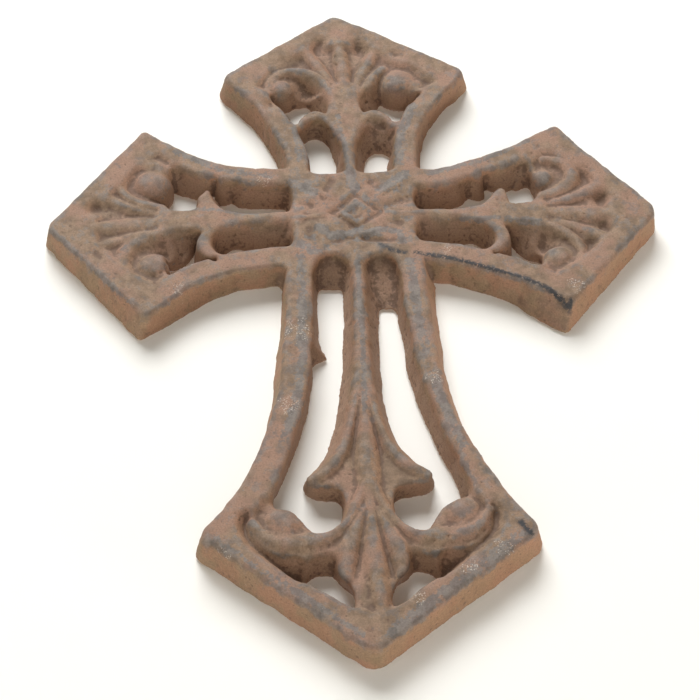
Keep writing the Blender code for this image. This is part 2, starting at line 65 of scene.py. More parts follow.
# u runs out along an arm and v to the left of it. Each flank is a list of (u, v) from neck to
# corner, once at the face and once at the back, where the casting is wider.
arms = {
    "top": {
        "turn": 90, "axis": (-0.8, 1.8), "plate": 15.4, "rounding": (3.0, 2.4), "rims": (5.0, 5.2),
        "slotEnd": (28.6, 34.6), "stemBase": (3.6, 3.4), "gapBase": (9.0, 7.6),
        "rimDraft": (1.9, 0.4), "earOut": (11.6, 5.9), "earIn": (8.4, 4.9),
        "face": {
            "tip": (75.9, 1.8), "left": (52.2, 32.3), "right": (52.6, 32.2),
            "leftFlank": [(17.5, 15.6), (22, 15.5), (25, 16.1), (30.5, 18.5), (34.5, 20.3), (39, 22.4),
                          (43, 24.8), (47, 28)],
            "rightFlank": [(17, 16.8), (22, 16.6), (27, 17.2), (31, 18.4), (34, 19.6), (38.5, 21.8),
                           (42, 24.0), (46, 27.2)],
        },
        "base": {
            "tip": (76.4, 1.8), "left": (53.0, 34.2), "right": (53.8, 33.9),
            "leftFlank": [(18.5, 17.6), (24, 17.9), (27.7, 18.9), (31, 20.4), (37.4, 23.4), (42, 26.5),
                          (47, 29.9)],
            "rightFlank": [(17.5, 18.2), (24, 18.4), (28, 19.0), (32, 19.8), (36, 21.2), (41, 23.6),
                           (45.6, 26.4), (48.2, 29.4)],
        },
    },
    "left": {
        "turn": 180, "axis": (-1.4, 1.0), "plate": 14.6, "rounding": (3.0, 1.2), "rims": (5.2, 6.2),
        "slotEnd": (33.0, 33.0), "stemBase": (3.4, 6.6), "gapBase": (4.8, 10.4),
        "rimDraft": (2.9, 0.8), "earOut": (11.8, 8.2), "earIn": (8.6, 6.0),
        "face": {
            "tip": (75.9, 1.2), "left": (50.6, 31.5), "right": (52.5, 32.4),
            "leftFlank": [(17.5, 15.5), (22, 16.3), (28, 17.3), (32, 18.5), (36, 19.9), (40, 22.0),
                          (44, 25.1), (47, 27.8)],
            "rightFlank": [(18.5, 17.4), (22, 17.5), (25, 17.8), (30, 18.6), (35, 20.1), (40, 22.8),
                           (44, 25.6), (48, 28.5)],
        },
        "base": {
            "tip": (77.2, 0.6), "left": (52.5, 33.4), "right": (53.0, 33.8),
            "leftFlank": [(19, 16.4), (22, 16.8), (28.2, 17.9), (31.2, 18.8), (34.3, 20.1), (37.4, 22.3),
                          (40.4, 24.5), (45.5, 28.1), (48.6, 30.2)],
            "rightFlank": [(18.5, 19.0), (25, 19.3), (30, 20.1), (35, 21.6), (40, 24.3), (44, 27.0),
                           (48, 29.8)],
        },
    },
    "right": {
        "turn": 0, "axis": (1.0, -1.0), "plate": 15.4, "rounding": (4.5, 1.3), "rims": (6.2, 5.3),
        "slotEnd": (33.0, 33.0), "stemBase": (6.6, 3.4), "gapBase": (10.4, 4.8),
        "rimDraft": (0.8, 3.1), "earOut": (11.8, 8.2), "earIn": (8.6, 6.0),
        "face": {
            "tip": (76.4, -0.6), "left": (53.8, 30.4), "right": (51.8, 30.0),
            "leftFlank": [(18, 15.7), (22, 15.8), (26, 16.8), (29, 17.9), (33, 19.5), (37, 21.1),
                          (41, 22.7), (45, 25.1), (49, 28.0)],
            "rightFlank": [(17, 14.9), (21, 15.5), (25, 16.4), (30, 18.1), (35, 20.3), (40, 22.7),
                           (45, 25.6), (48.5, 28.0)],
        },
        "base": {
            "tip": (77.3, -0.3), "left": (54.2, 32.0), "right": (50.6, 34.6),
            "leftFlank": [(18, 17.2), (22, 17.3), (26, 18.2), (33, 20.9), (41, 24.2), (49, 29.5)],
            "rightFlank": [(19, 16.8), (23, 17.1), (26, 18.4), (29, 19.6), (32, 20.8), (35, 22.4),
                           (38.1, 24.2), (40.1, 26.0), (42.2, 28.6), (44.2, 30.4), (47, 32.6)],
        },
    },
    "foot": {
        "turn": -90, "axis": (0.6, -0.6), "plate": 12.6, "rounding": (4.0, 3.2), "rims": (5.0, 5.4),
        "face": {
            "tip": (127.5, -0.9), "left": (96.6, 37.6), "right": (95.7, 37.6),
            "leftFlank": [(17, 16.3), (30, 17.0), (40, 17.5), (50, 18.0), (57, 19.0), (63, 20.3),
                          (70, 22.6), (76, 25.3), (81, 27.5), (87, 30.8), (92, 33.9)],
            "rightFlank": [(17, 16.3), (30, 16.9), (40, 17.4), (50, 18.3), (57, 19.5), (63, 20.9),
                           (70, 22.8), (76, 25.2), (81, 27.5), (87, 30.8), (91.5, 34.2)],
        },
        "base": {
            "tip": (128.3, -0.9), "left": (97.4, 38.8), "right": (96.2, 39.8),
            "leftFlank": [(18.5, 19.6), (28, 19.2), (33.5, 19.6), (38.6, 20.0), (43.7, 19.8), (48.8, 20.3),
                          (54, 21.0), (59, 22.0), (64, 23.2), (70, 25.2), (76, 28.0), (81, 30.6),
                          (87, 33.8), (92, 36.6)],
            "rightFlank": [(18.5, 17.8), (28, 18.4), (33.5, 18.9), (38.6, 19.8), (43.7, 20.3), (54, 20.9),
                           (59, 21.9), (64, 22.8), (69, 24.5), (74, 26.5), (79.4, 29.0), (85, 32.0),
                           (90.5, 35.6)],
        },
    },
}
shortArms = ("top", "left", "right")
earCentre = (27.0, 7.6)
gapOut = 47.0

# Openings of the long arm as (x, y) loops, at the face and at the back
shaft = {
    "left": {
        "face": [(-0.5, -12.6), (-0.6, -25), (-0.9, -40), (-1.5, -50), (-2.6, -58), (-4.0, -65),
                 (-5.6, -71), (-7.6, -75.5), (-10.4, -78.6), (-13.4, -79.8), (-14.2, -81.4), (-12.6, -82.5),
                 (-7.6, -82.8), (-5.2, -84.4), (-4.8, -88.5), (-5.6, -92), (-7.6, -95), (-10.4, -96.2),
                 (-12.8, -96.1), (-14.4, -94), (-16.0, -90.8), (-18.4, -88.9), (-22.6, -88.6), (-20.3, -81),
                 (-18.0, -75), (-16.0, -68), (-14.3, -61), (-13.0, -55), (-12.0, -48), (-11.5, -40),
                 (-11.2, -30), (-10.9, -12.6)],
        "base": [(-3.2, -12.6), (-3.4, -28), (-3.7, -33.5), (-4.2, -38.6), (-4.7, -43.7), (-5.3, -48.8),
                 (-5.9, -53.9), (-6.6, -59), (-7.6, -64), (-8.9, -69), (-10.6, -72.4), (-12.8, -75),
                 (-14.4, -77), (-14.9, -79.2), (-13.9, -81.4), (-11, -82.7), (-7.0, -83.1), (-5.8, -84.6),
                 (-6.0, -88.5), (-8.0, -92.2), (-11.2, -93.8), (-13.6, -93), (-15.6, -90.2), (-18.0, -87.6),
                 (-21.6, -86.4), (-21.6, -82.5), (-20.2, -79.4), (-18.2, -74.3), (-15.9, -69), (-14.7, -64),
                 (-13.3, -59), (-12.3, -54), (-11.6, -48.8), (-11.3, -43.4), (-9.4, -42.0), (-7.3, -41.4),
                 (-7.5, -40.2), (-9.3, -37.0), (-9.6, -28), (-9.4, -12.6)],
    },
    "right": {
        "face": [(1.8, -12.6), (1.7, -25), (1.6, -40), (1.9, -50), (2.7, -58), (4.2, -65), (5.8, -71),
                 (8.0, -75), (11.0, -77.8), (14.0, -79), (14.7, -80.9), (13.0, -82.2), (8.6, -82.5),
                 (5.8, -84), (5.0, -88.4), (5.8, -92), (8.2, -95), (10.8, -96.2), (12.8, -96), (14.0, -94),
                 (15.4, -91), (17.4, -88.6), (20.2, -87.2), (24.4, -86.4), (22.0, -79), (20.3, -74),
                 (17.8, -66), (16.0, -59), (14.6, -53), (13.3, -46), (12.3, -38), (11.6, -30),
                 (10.8, -12.6)],
        "base": [(5.4, -12.6), (5.5, -28), (5.2, -33.5), (5.2, -39), (5.0, -43.7), (4.9, -48.8), (5.2, -54),
                 (5.9, -59), (6.9, -64), (8.6, -69), (10.8, -72), (13.4, -74.4), (15.2, -76.6), (15.5, -79),
                 (14.2, -81.4), (10, -82.5), (6.6, -82.9), (5.6, -84.6), (6.1, -88.8), (8.8, -92.6),
                 (11.4, -93.8), (13.2, -92.8), (14.8, -90.2), (17.2, -87.4), (21.2, -85.6), (20.6, -80),
                 (18.4, -74.3), (16.5, -69), (15.1, -64), (13.6, -59), (12.4, -54), (11.4, -48.8),
                 (10.7, -43.7), (10.5, -38.6), (10.1, -33.5), (9.7, -28.4), (9.4, -12.6)],
    },
    "leftFoot": {
        "face": [(-4.3, -116.6), (-9, -113), (-14, -109.4), (-17.5, -106.4), (-16.6, -103.2), (-12.4, -101),
                 (-8.2, -100.4), (-7.0, -102.2), (-8.0, -105.2), (-7.0, -107.8), (-5.0, -109.8),
                 (-4.3, -113)],
        "base": [(-3.6, -115.9), (-8.6, -112.4), (-13.8, -108.8), (-15.2, -106), (-13.2, -103.4),
                 (-9.2, -103), (-8.3, -104), (-7.2, -105.4), (-5.3, -107.2), (-3.8, -109.6)],
    },
    "rightFoot": {
        "face": [(3.6, -116.4), (7, -114.3), (10, -111.4), (13, -108.9), (16.6, -106.3), (16.8, -103.2),
                 (12.6, -100.8), (8.8, -99.8), (7.4, -101.6), (8.2, -104.6), (7.3, -107.2), (5.2, -109),
                 (3.9, -111)],
        "base": [(3.4, -115.8), (7, -113.2), (10, -110.5), (13.6, -107.8), (14.4, -105.4), (12.6, -103.2),
                 (9.4, -102.5), (8.6, -103.5), (6.6, -105.3), (4.4, -106.2), (3.6, -108.5)],
    },
}

# Raised and sunk work on the plan. A ridge is a list of (x, y, half width, top), a ball is
# (x, y, radius, top), a hollow is (x, y, half length, half width, turn, depth) and a valley is an
# outline with the height of its floor at two values of x.
relief = {
    "notches": [
        [(-27.0, 16.0), (-27.6, 10.6), (-32.0, 8.6), (-34.4, 8.8), (-36.1, 11.4), (-37.8, 8.8),
         (-41.0, 8.0), (-44.0, 12.0), (-44.0, 21.0), (-36.0, 18.0)],
        [(27.0, 15.0), (27.6, 8.6), (32.5, 5.8), (35.6, 7.0), (38.9, 9.6), (41.4, 8.4), (44.0, 12.0),
         (44.0, 20.0), (36.0, 17.0)],
    ],
    "leaves": [
        [(-30.4, 2.0), (-32.6, 4.4), (-34.8, 7.8), (-36.2, 10.9), (-37.6, 7.8), (-40.6, 2.0)],
        [(30.4, 1.0), (34.5, 4.8), (38.8, 8.9), (39.8, 5.0), (40.2, 1.0)],
    ],
    "basin": [(0, -119.3), (10, -111.4), (20, -103.4), (27.5, -97.4), (29.5, -94), (26.5, -89.5), (22, -84),
              (12, -80), (-12, -80), (-22, -84), (-26.5, -89.5), (-29.5, -94), (-27.5, -97.4),
              (-20, -103.4), (-10, -111.4)],
    "ridges": [
        # crossing: short ribs that run on from the stems to the diamond
        [(-18, -0.4, 1.5, 7.5), (-12, -0.2, 1.4, 7.8), (-6.6, 0.6, 1.2, 7.8)],
        [(18, 0.4, 1.5, 7.5), (13, 0.6, 1.4, 7.8), (8.4, 1.0, 1.2, 7.8)],
        [(-0.4, 18, 1.5, 7.6), (0.0, 12, 1.5, 7.85), (0.6, 8.6, 1.3, 7.8)],
        [(0.6, -16, 1.6, 7.6), (1.0, -11, 1.5, 7.8), (1.2, -6.4, 1.3, 7.8)],
        [(-13.5, 12.5, 1.8, 7.7), (-8.5, 9.0, 1.7, 7.85), (-5.0, 6.2, 1.2, 7.7)],
        [(14, 12.5, 1.8, 7.7), (9.5, 9.6, 1.7, 7.85), (6.4, 6.6, 1.2, 7.7)],
        [(-3.6, -4.6, 1.2, 7.7), (-1.8, -6.6, 1.3, 7.85), (2.0, -6.8, 1.4, 7.85), (6.4, -4.8, 1.3, 7.85),
         (9.8, -5.4, 1.2, 7.8), (11.6, -8.6, 1.2, 7.7)],
        [(-9.4, -2.0, 1.0, 7.75), (-7.4, -6.0, 1.2, 7.8), (-7.8, -11.0, 1.3, 7.7)],
        # top arm: middle lobe, side lobes, volutes
        [(0.4, 36, 3.4, 7.6), (0.2, 44, 2.4, 7.6), (-0.4, 54, 2.5, 7.6), (-0.9, 62, 2.3, 7.5),
         (-1.4, 70, 1.6, 7.4)],
        [(-2.2, 46, 2.0, 7.1), (-5.2, 53, 2.3, 7.2), (-8.8, 60, 2.4, 7.2), (-11.4, 63.8, 2.0, 7.3)],
        [(2.6, 46, 2.0, 7.1), (4.6, 53, 2.3, 7.2), (7.6, 60, 2.4, 7.2), (9.8, 65.0, 2.0, 7.3)],
        [(-1.6, 30, 1.8, 7.6), (-2.4, 38, 2.0, 7.6), (-3.8, 46, 2.1, 7.6), (-6.6, 51.6, 2.1, 7.6),
         (-11.4, 54.6, 2.1, 7.5), (-16.6, 54.2, 2.0, 7.3), (-20.0, 51.2, 1.9, 7.1),
         (-20.4, 47.4, 1.7, 6.8)],
        [(2.2, 32, 1.8, 7.6), (3.4, 40, 2.0, 7.6), (4.8, 46.4, 2.1, 7.5), (7.6, 51.8, 2.0, 7.3),
         (10.4, 55.0, 1.9, 7.0)],
        # left arm
        [(-34, 0.4, 3.0, 7.6), (-44, 0.2, 3.2, 7.5), (-54, -0.6, 3.6, 7.3), (-62, -1.2, 3.3, 7.2),
         (-69, -1.4, 1.8, 7.2)],
        [(-47, 2.4, 2.0, 7.1), (-54, 5.2, 2.7, 7.1), (-60.5, 8.4, 2.6, 7.0), (-64.0, 11.4, 2.2, 7.1)],
        [(-47, -2.2, 2.0, 7.1), (-54, -4.4, 2.6, 7.1), (-60.5, -6.4, 2.5, 7.0), (-65, -8.6, 2.2, 7.1)],
        [(-36, 3.0, 1.9, 7.6), (-43, 3.8, 2.0, 7.6), (-49, 5.0, 2.1, 7.5), (-55.0, 7.6, 2.0, 7.4),
         (-58.6, 12.0, 1.9, 7.3), (-57.8, 15.6, 1.7, 7.0)],
        [(-36, -1.6, 1.9, 7.6), (-43, -2.4, 2.0, 7.6), (-49, -3.6, 2.1, 7.5), (-54.0, -6.0, 2.8, 7.4),
         (-56.6, -9.6, 2.9, 7.3), (-56.8, -14.0, 2.6, 7.2), (-54.6, -18.0, 2.0, 7.0)],
        [(-46.4, 18.6, 2.4, 7.0), (-50.6, 21.0, 3.2, 7.5), (-56.4, 19.6, 3.2, 7.2),
         (-60.4, 14.6, 2.6, 7.1)],
        [(-30.5, 6.2, 1.4, 7.2), (-34.6, 8.2, 1.3, 7.5), (-36.6, 9.8, 0.9, 7.4)],
        # right arm
        [(34, 0.6, 3.0, 7.6), (44, 0.4, 3.2, 7.5), (54, -0.2, 3.6, 7.3), (62, -0.6, 3.3, 7.2),
         (69, -0.8, 1.8, 7.2)],
        [(47, 2.6, 2.0, 7.1), (54, 4.6, 2.6, 7.1), (60, 7.6, 2.6, 7.0), (64.0, 11.0, 2.2, 7.2)],
        [(47, -1.8, 2.0, 7.1), (54, -4.4, 2.6, 7.1), (60, -7.0, 2.6, 7.0), (64.6, -10.0, 2.2, 7.1)],
        [(36, 3.2, 1.9, 7.6), (44, 4.6, 2.0, 7.6), (50.5, 6.4, 2.4, 7.5), (55.0, 9.4, 2.5, 7.5),
         (56.8, 14.0, 2.5, 7.5), (54.6, 18.2, 2.2, 7.4), (49.8, 19.0, 1.9, 7.2)],
        [(36, -1.4, 1.9, 7.6), (43, -2.8, 2.0, 7.6), (49, -4.2, 2.1, 7.5), (53.4, -7.0, 2.0, 7.4),
         (56.0, -11.0, 1.9, 7.3), (56.0, -15.2, 1.8, 7.1), (53.0, -18.6, 1.6, 6.9)],
        [(46.6, 19.6, 2.4, 7.0), (49.0, 22.4, 3.0, 7.5), (52.0, 22.4, 3.2, 7.3), (58.0, 19.6, 3.2, 7.2),
         (61.0, 15.4, 2.6, 7.1)],
        [(31.5, 5.0, 1.4, 7.2), (35.6, 6.6, 1.3, 7.5), (38.8, 8.0, 0.9, 7.4)],
        # long stem: middle strand, then the two that run out into its ears
        [(0.4, -54, 1.8, 7.6), (0.2, -64, 2.1, 7.7), (0.0, -74, 2.7, 7.7), (0.2, -82, 2.9, 7.6),
         (0.2, -89, 2.4, 7.5)],
        [(-1.0, -56, 1.6, 7.5), (-3.3, -64, 1.8, 7.5), (-4.7, -70.4, 2.0, 7.5), (-7.2, -76.4, 2.1, 7.5),
         (-10.6, -79.6, 2.1, 7.3), (-13.4, -80.8, 1.9, 6.9)],
        [(1.3, -56, 1.6, 7.5), (2.9, -64, 1.8, 7.5), (4.9, -70.4, 2.0, 7.5), (7.8, -76.2, 2.1, 7.5),
         (11.0, -79.0, 2.1, 7.3), (14.0, -80.2, 1.9, 6.9)],
        # foot: volutes, then the palmette's lobes
        [(-0.8, -83, 1.7, 7.5), (-2.6, -88, 1.9, 7.6), (-4.6, -92.4, 2.0, 7.6), (-8.4, -95.8, 2.9, 7.6),
         (-13.6, -97.8, 3.0, 7.6), (-19.4, -98.2, 2.9, 7.6), (-23.6, -96.6, 2.4, 7.5),
         (-26.0, -92.6, 1.5, 7.3)],
        [(1.0, -83, 1.7, 7.5), (2.4, -88, 1.9, 7.6), (4.6, -92.2, 2.0, 7.6), (8.2, -95.4, 2.9, 7.6),
         (13.6, -97.4, 3.0, 7.6), (19.6, -97.2, 2.9, 7.6), (24.2, -94.8, 2.4, 7.5),
         (26.6, -90.6, 1.5, 7.3)],
        [(0.4, -90, 1.8, 7.4), (0.2, -98, 2.6, 7.7), (0.6, -106, 2.6, 7.7), (1.2, -112, 2.2, 7.5),
         (1.6, -121, 2.2, 7.5)],
        [(-1.6, -90, 1.7, 7.3), (-4.0, -96.5, 2.6, 7.6), (-5.9, -102.0, 2.9, 7.4), (-5.6, -107, 2.2, 6.6)],
        [(2.0, -90, 1.7, 7.4), (4.2, -96, 2.6, 7.7), (6.4, -101.4, 2.8, 7.5), (6.3, -106.4, 2.2, 6.7)],
    ],
    "balls": [
        (-17.2, 48.6, 4.2, 7.1), (14.6, 50.4, 6.6, 7.5),
        (-50.4, 14.4, 6.0, 7.9), (-49.4, -14.2, 6.2, 7.5),
        (48.9, 13.2, 4.0, 7.0), (50.8, -14.6, 5.2, 7.3),
        (-19.4, -92.6, 5.8, 7.9), (20.8, -90.8, 6.0, 7.9),
    ],
    "columns": [(-17.2, 48.6, 4.0, 7.0), (14.4, 50.2, 5.6, 7.5), (-50.2, 14.4, 5.3, 7.8),
                (-49.6, -14.2, 4.2, 7.3), (18.6, 48.4, 3.8, 6.8), (-20.2, 47.6, 2.8, 6.4),
                (-48.2, 18.0, 3.0, 6.9)],
    "hollows": [
        # pits between the lobes in the ends of the short arms
        (-6.4, 64.4, 2.0, 1.5, 60, 2.0), (4.4, 63.8, 2.2, 1.6, 115, 2.2), (-14.5, 58.6, 3.0, 1.3, 20, 0.9),
        (13.6, 59.6, 3.2, 1.2, -15, 0.9),
        (-3.6, 50.5, 3.4, 0.9, 68, 0.8), (3.8, 50.5, 3.4, 0.9, 112, 0.8),
        (-64.2, 5.6, 2.0, 1.5, 60, 2.4), (-62.6, -10.8, 2.0, 1.6, 130, 0.9),
        (63.4, 5.0, 2.2, 1.5, 80, 2.4), (63.0, -5.4, 2.0, 1.4, 100, 1.6), (58.6, -11.0, 2.2, 1.3, 60, 1.8),
        (59.6, 12.4, 2.6, 1.3, 110, 2.2),
        (-53.0, 2.4, 3.4, 0.9, 168, 0.6), (-53.0, -2.4, 3.4, 0.9, 10, 0.6), (53.0, 2.4, 3.4, 0.9, 12, 0.6),
        (53.0, -2.6, 3.4, 0.9, -14, 0.6),
        # crossing
        (-5.4, 11.4, 3.0, 1.2, 62, 0.9), (5.6, 11.6, 3.0, 1.2, 118, 0.9), (-11.0, 4.4, 3.2, 1.3, 160, 0.8),
        (12.6, 5.0, 3.2, 1.3, 15, 0.8),
        (-10.8, -5.2, 2.6, 1.3, 100, 0.7), (5.4, -8.4, 3.8, 0.9, -10, 1.2), (-3.6, -8.6, 2.4, 1.2, 30, 0.8),
        (12.0, -3.0, 3.0, 1.2, -20, 0.7),
        # beside the balls, running down into the openings
        (-10.6, 47.6, 4.4, 2.6, 70, 4.2), (8.8, 46.4, 4.0, 2.2, 105, 4.0), (-46.2, 9.6, 3.4, 2.6, 150, 3.6),
        (-45.6, -9.6, 4.0, 2.8, 30, 4.2),
        (45.4, 9.8, 3.4, 2.6, 30, 3.6), (45.6, -9.4, 4.0, 2.6, -30, 4.0), (-19.0, 42.6, 2.2, 1.6, 60, 1.8),
        (16.8, 43.4, 2.4, 1.6, 110, 2.0),
        # long stem and foot
        (-2.3, -72, 7.0, 0.8, 86, 1.1), (2.6, -72, 7.0, 0.8, 95, 1.1), (-2.7, -99.5, 6.0, 0.8, 80, 1.6),
        (3.4, -100.5, 6.5, 0.8, 100, 2.0),
    ],
    "valleys": [
        ([(-14, -109.6), (-20.5, -104.4), (-26.6, -99.2), (-29.2, -94.6), (-28.6, -90.4), (-26.4, -90),
          (-26.8, -94.4), (-24.8, -98.6), (-20.5, -101.6), (-14, -101.8)], -14, 0.3, -26, 4.6),
        ([(13, -108.8), (18, -105.6), (24, -101.2), (28.6, -96.5), (29.2, -92), (27.4, -89.5), (26.4, -91),
          (26.8, -94), (24.8, -97.6), (20.5, -100.6), (14, -101.2)], 14, 0.3, 22, 5.0),
    ],
}
diamond = {"x": 1.0, "y": 1.3, "dip": 1.5, "edge": 2.9, "ring": 5.0, "dipDepth": 0.45, "ringDepth": 0.6}
# Sloping webs in the crotches: lowest and highest x, then (y, height) up the slope
webs = [
    (-10.6, -1.0, [(-19.0, 0.0), (-14.2, 4.2), (-11.6, 6.5)]),
    (2.0, 11.6, [(-26.5, 0.0), (-16.0, 3.8), (-12.6, 6.5)]),
]

xs = np.arange(-81.0, 81.0, casting["spacing"])
ys = np.arange(-132.0, 80.5, casting["spacing"])
planX, planY = np.meshgrid(xs, ys, indexing="ij")


def mix(a, b, t):
    return a + (b - a) * t


def steps(start, end, count):
    return [mix(start, end, i / count) for i in range(count + 1)]


def arc(centre, radii, start, end, count):
    angles = [math.radians(a) for a in steps(start, end, count)]
    return [(centre[0] + radii[0] * math.cos(a), centre[1] + radii[1] * math.sin(a)) for a in angles]


def cutCorners(path, times, closed):
    # cuts every corner of a path at a quarter of each edge
    for _ in range(times):
        cut = [] if closed else [path[0]]
        for a, b in zip(path, path[1:] + (path[:1] if closed else [])):
            cut.append(tuple(mix(p, q, 0.25) for p, q in zip(a, b)))
            cut.append(tuple(mix(p, q, 0.75) for p, q in zip(a, b)))
        path = cut if closed else cut + [path[-1]]
    return path


def filleted(before, corner, after, radius, count=8):
    p = Vector(corner)
    a, b = (Vector(before) - p).normalized(), (Vector(after) - p).normalized()
    half = a.angle(b) / 2
    reach = radius / math.tan(half)
    centre = p + (a + b).normalized() * (radius / math.sin(half))
    first, last = p + a * reach - centre, p + b * reach - centre
    sweep = first.angle_signed(last)
    return [tuple(centre + Matrix.Rotation(-sweep * i / count, 2) @ first) for i in range(count + 1)]


def onPlan(arm, points):
    turn = math.radians(arm["turn"])
    c, s = math.cos(turn), math.sin(turn)
    return [(u * c - v * s, u * s + v * c) for u, v in points]


def axisOffset(arm, u):
    return mix(*arm["axis"], u / arm["face"]["tip"][0])


def besideAxis(arm, side, points):
    return [(u, axisOffset(arm, u) + side * v) for u, v in points]


def flank(arm, side, u):
    path = arm["face"]["leftFlank" if side > 0 else "rightFlank"]
    return float(np.interp(u, [p[0] for p in path], [p[1] for p in path]))


def rimInside(arm, side, u):
    slope = (flank(arm, side, u + 2) - flank(arm, side, u - 2)) / 4
    return flank(arm, side, u) - arm["rims"][side > 0] * math.sqrt(1 + slope * slope)


def armOutline(arm, level):
    shape = arm[level]
    tip, left, right = shape["tip"], shape["left"], (shape["right"][0], -shape["right"][1])
    tipRadius, cornerRadius = arm["rounding"]
    out = cutCorners([(u, -v) for u, v in shape["rightFlank"]], 2, False)
    back = cutCorners(shape["leftFlank"][::-1], 2, False)
    outline = out + filleted(out[-1], right, tip, cornerRadius) + filleted(right, tip, left, tipRadius)
    return outline + filleted(tip, left, back[0], cornerRadius) + back


def armSlot(arm, side, depth):
    # depth is 0 at the face and 1 at the back
    long, wide = arm["earIn"]
    end = mix(earCentre[0] + long, arm["slotEnd"][side > 0], depth)
    start = arm["plate"] + 1.6 * depth
    stem = [(u, mix(1.2, arm["stemBase"][side > 0], depth)) for u in steps(start, end - long - 1, 3)]
    curve = arc((end - long, earCentre[1] + 0.5 * depth), (long, mix(wide, 4.6, depth)), -55, 50, 8)
    loop = besideAxis(arm, side, stem + curve)
    setIn = arm["rimDraft"][side > 0] * depth
    rim = steps(loop[-1][0] - 1.0, start, 4)
    return loop + [(u, side * (rimInside(arm, side, u) - setIn)) for u in rim]


def armGap(arm, side, depth):
    long, wide = arm["earOut"]
    arch = arc(earCentre, (long + 1.0 * depth, wide + 0.5 * depth), 55, -28, 7)
    beside = mix(3.4, arm["gapBase"][side > 0], depth)
    stem = [(42.0, beside), (gapOut - 0.8, beside + 0.7), (gapOut, max(8.5, beside + 1.5)),
            (gapOut - 0.3, 12.5)]
    loop = besideAxis(arm, side, arch + stem)
    setIn = 0.2 + (0.6 + arm["rimDraft"][side > 0]) * depth
    rim = steps(46.0, arch[0][0] + 0.5, 3)
    return loop + [(u, side * (rimInside(arm, side, u) - setIn)) for u in rim]


def endGround(arm):
    # outline of the sunk ground inside the point of a short arm, notched round its middle rib
    near, notch, wide = 44.5, 48.4, 50.0
    sides, tips = [], []
    for side, corner in ((-1, arm["face"]["right"]), (1, arm["face"]["left"])):
        run, rise = arm["face"]["tip"][0] - corner[0], corner[1]
        innerTip = arm["face"]["tip"][0] - casting["chevronWidth"] * math.hypot(run, rise) / rise
        bend = (innerTip - wide) * rise / run
        sides.append([(notch, side * 4.0), (near, side * 4.6), (near, side * rimInside(arm, side, near)),
                      (wide, side * bend)])
        tips.append(innerTip)
    return sides[0] + [(sum(tips) / 2, arm["face"]["tip"][1])] + sides[1][::-1]


def window(lowX, highX, lowY, highY):
    i0, i1 = np.searchsorted(xs, (lowX, highX))
    j0, j1 = np.searchsorted(ys, (lowY, highY))
    return slice(i0, i1), slice(j0, j1)


def loopDistance(loop, reach=6.0):
    # signed distance to a closed loop, negative inside, levelled off at the reach
    distance = np.full(planX.shape, reach)
    inside = np.zeros(planX.shape, bool)
    for (ax, ay), (bx, by) in zip(loop, loop[1:] + loop[:1]):
        box = window(min(ax, bx) - reach, max(ax, bx) + reach, min(ay, by) - reach, max(ay, by) + reach)
        x, y = planX[box] - ax, planY[box] - ay
        dx, dy = bx - ax, by - ay
        t = np.clip((x * dx + y * dy) / max(dx * dx + dy * dy, 1e-9), 0, 1)
        distance[box] = np.minimum(distance[box], np.hypot(x - t * dx, y - t * dy))
        if ay != by:
            rows = window(-1e3, 1e3, min(ay, by), max(ay, by))
            crossing = ax + (planY[rows] - ay) / (by - ay) * (bx - ax)
            inside[rows] ^= planX[rows] < crossing
    return np.where(inside, -distance, distance)


def ridgeHeight(path):
    # height of a rounded rib along a path whose width and top change from point to point
    height = np.full(planX.shape, -9.0)
    for (ax, ay, aHalf, aTop), (bx, by, bHalf, bTop) in zip(path, path[1:]):
        reach = 3.0 * max(aHalf, bHalf)
        box = window(min(ax, bx) - reach, max(ax, bx) + reach, min(ay, by) - reach, max(ay, by) + reach)
        x, y = planX[box] - ax, planY[box] - ay
        dx, dy = bx - ax, by - ay
        t = np.clip((x * dx + y * dy) / (dx * dx + dy * dy), 0, 1)
        across = np.hypot(x - t * dx, y - t * dy) / (casting["swell"] * mix(aHalf, bHalf, t))
        height[box] = np.maximum(height[box], mix(aTop, bTop, t) - casting["drop"] * across ** 2)
    return height


def smoothMax(a, b, blend):
    share = np.clip(blend - np.abs(a - b), 0, None) / blend
    return np.maximum(a, b) + share * share * blend / 4


def smoothMin(a, b, blend):
    return -smoothMax(-a, -b, blend)


def smoothStep(a, b, value):
    t = np.clip((value - a) / (b - a), 0, 1)
    return t * t * (3 - 2 * t)


def waver(cell, seed):
    # smooth random unevenness over the plan, between -1 and 1
    table = np.random.default_rng(seed).uniform(-1, 1, (int(170 / cell) + 3, int(220 / cell) + 3))
    u, v = (planX + 82) / cell, (planY + 133) / cell
    i, j = u.astype(int), v.astype(int)
    s, t = smoothStep(0, 1, u - i), smoothStep(0, 1, v - j)
    return mix(mix(table[i, j], table[i + 1, j], s), mix(table[i, j + 1], table[i + 1, j + 1], s), t)


# Plan maps: distances to the outer edge and to the openings at the face and at the back
edge, opening = {}, {}
for level, depth in (("face", 0), ("base", 1)):
    outline = []
    for name in ("right", "top", "left", "foot"):
        outline += onPlan(arms[name], armOutline(arms[name], level))
    edge[level] = loopDistance(outline, 12.0) - casting["grow"]
    opening[level] = np.full(planX.shape, 6.0)
    loops = [cutCorners(hole[level], 2, True) for hole in shaft.values()]
    for name in shortArms:
        for side in (-1, 1):
            loops.append(onPlan(arms[name], cutCorners(armSlot(arms[name], side, depth), 3, True)))
            loops.append(onPlan(arms[name], cutCorners(armGap(arms[name], side, depth), 2, True)))
    for loop in loops:
        opening[level] = np.minimum(opening[level], loopDistance(loop))
    for notch in relief["notches"]:
        beside = loopDistance(cutCorners(notch, 2, True)) + casting["notchSlope"] * depth
        rim = edge["face"] + casting["grow"] + casting["rimWidth"] + casting["rimSlope"] * depth
        opening[level] = smoothMin(opening[level], np.maximum(beside, rim), 1.6)
unevenness = casting["waver"] * (0.55 * waver(6.5, 3) + 0.45 * waver(2.4, 4))
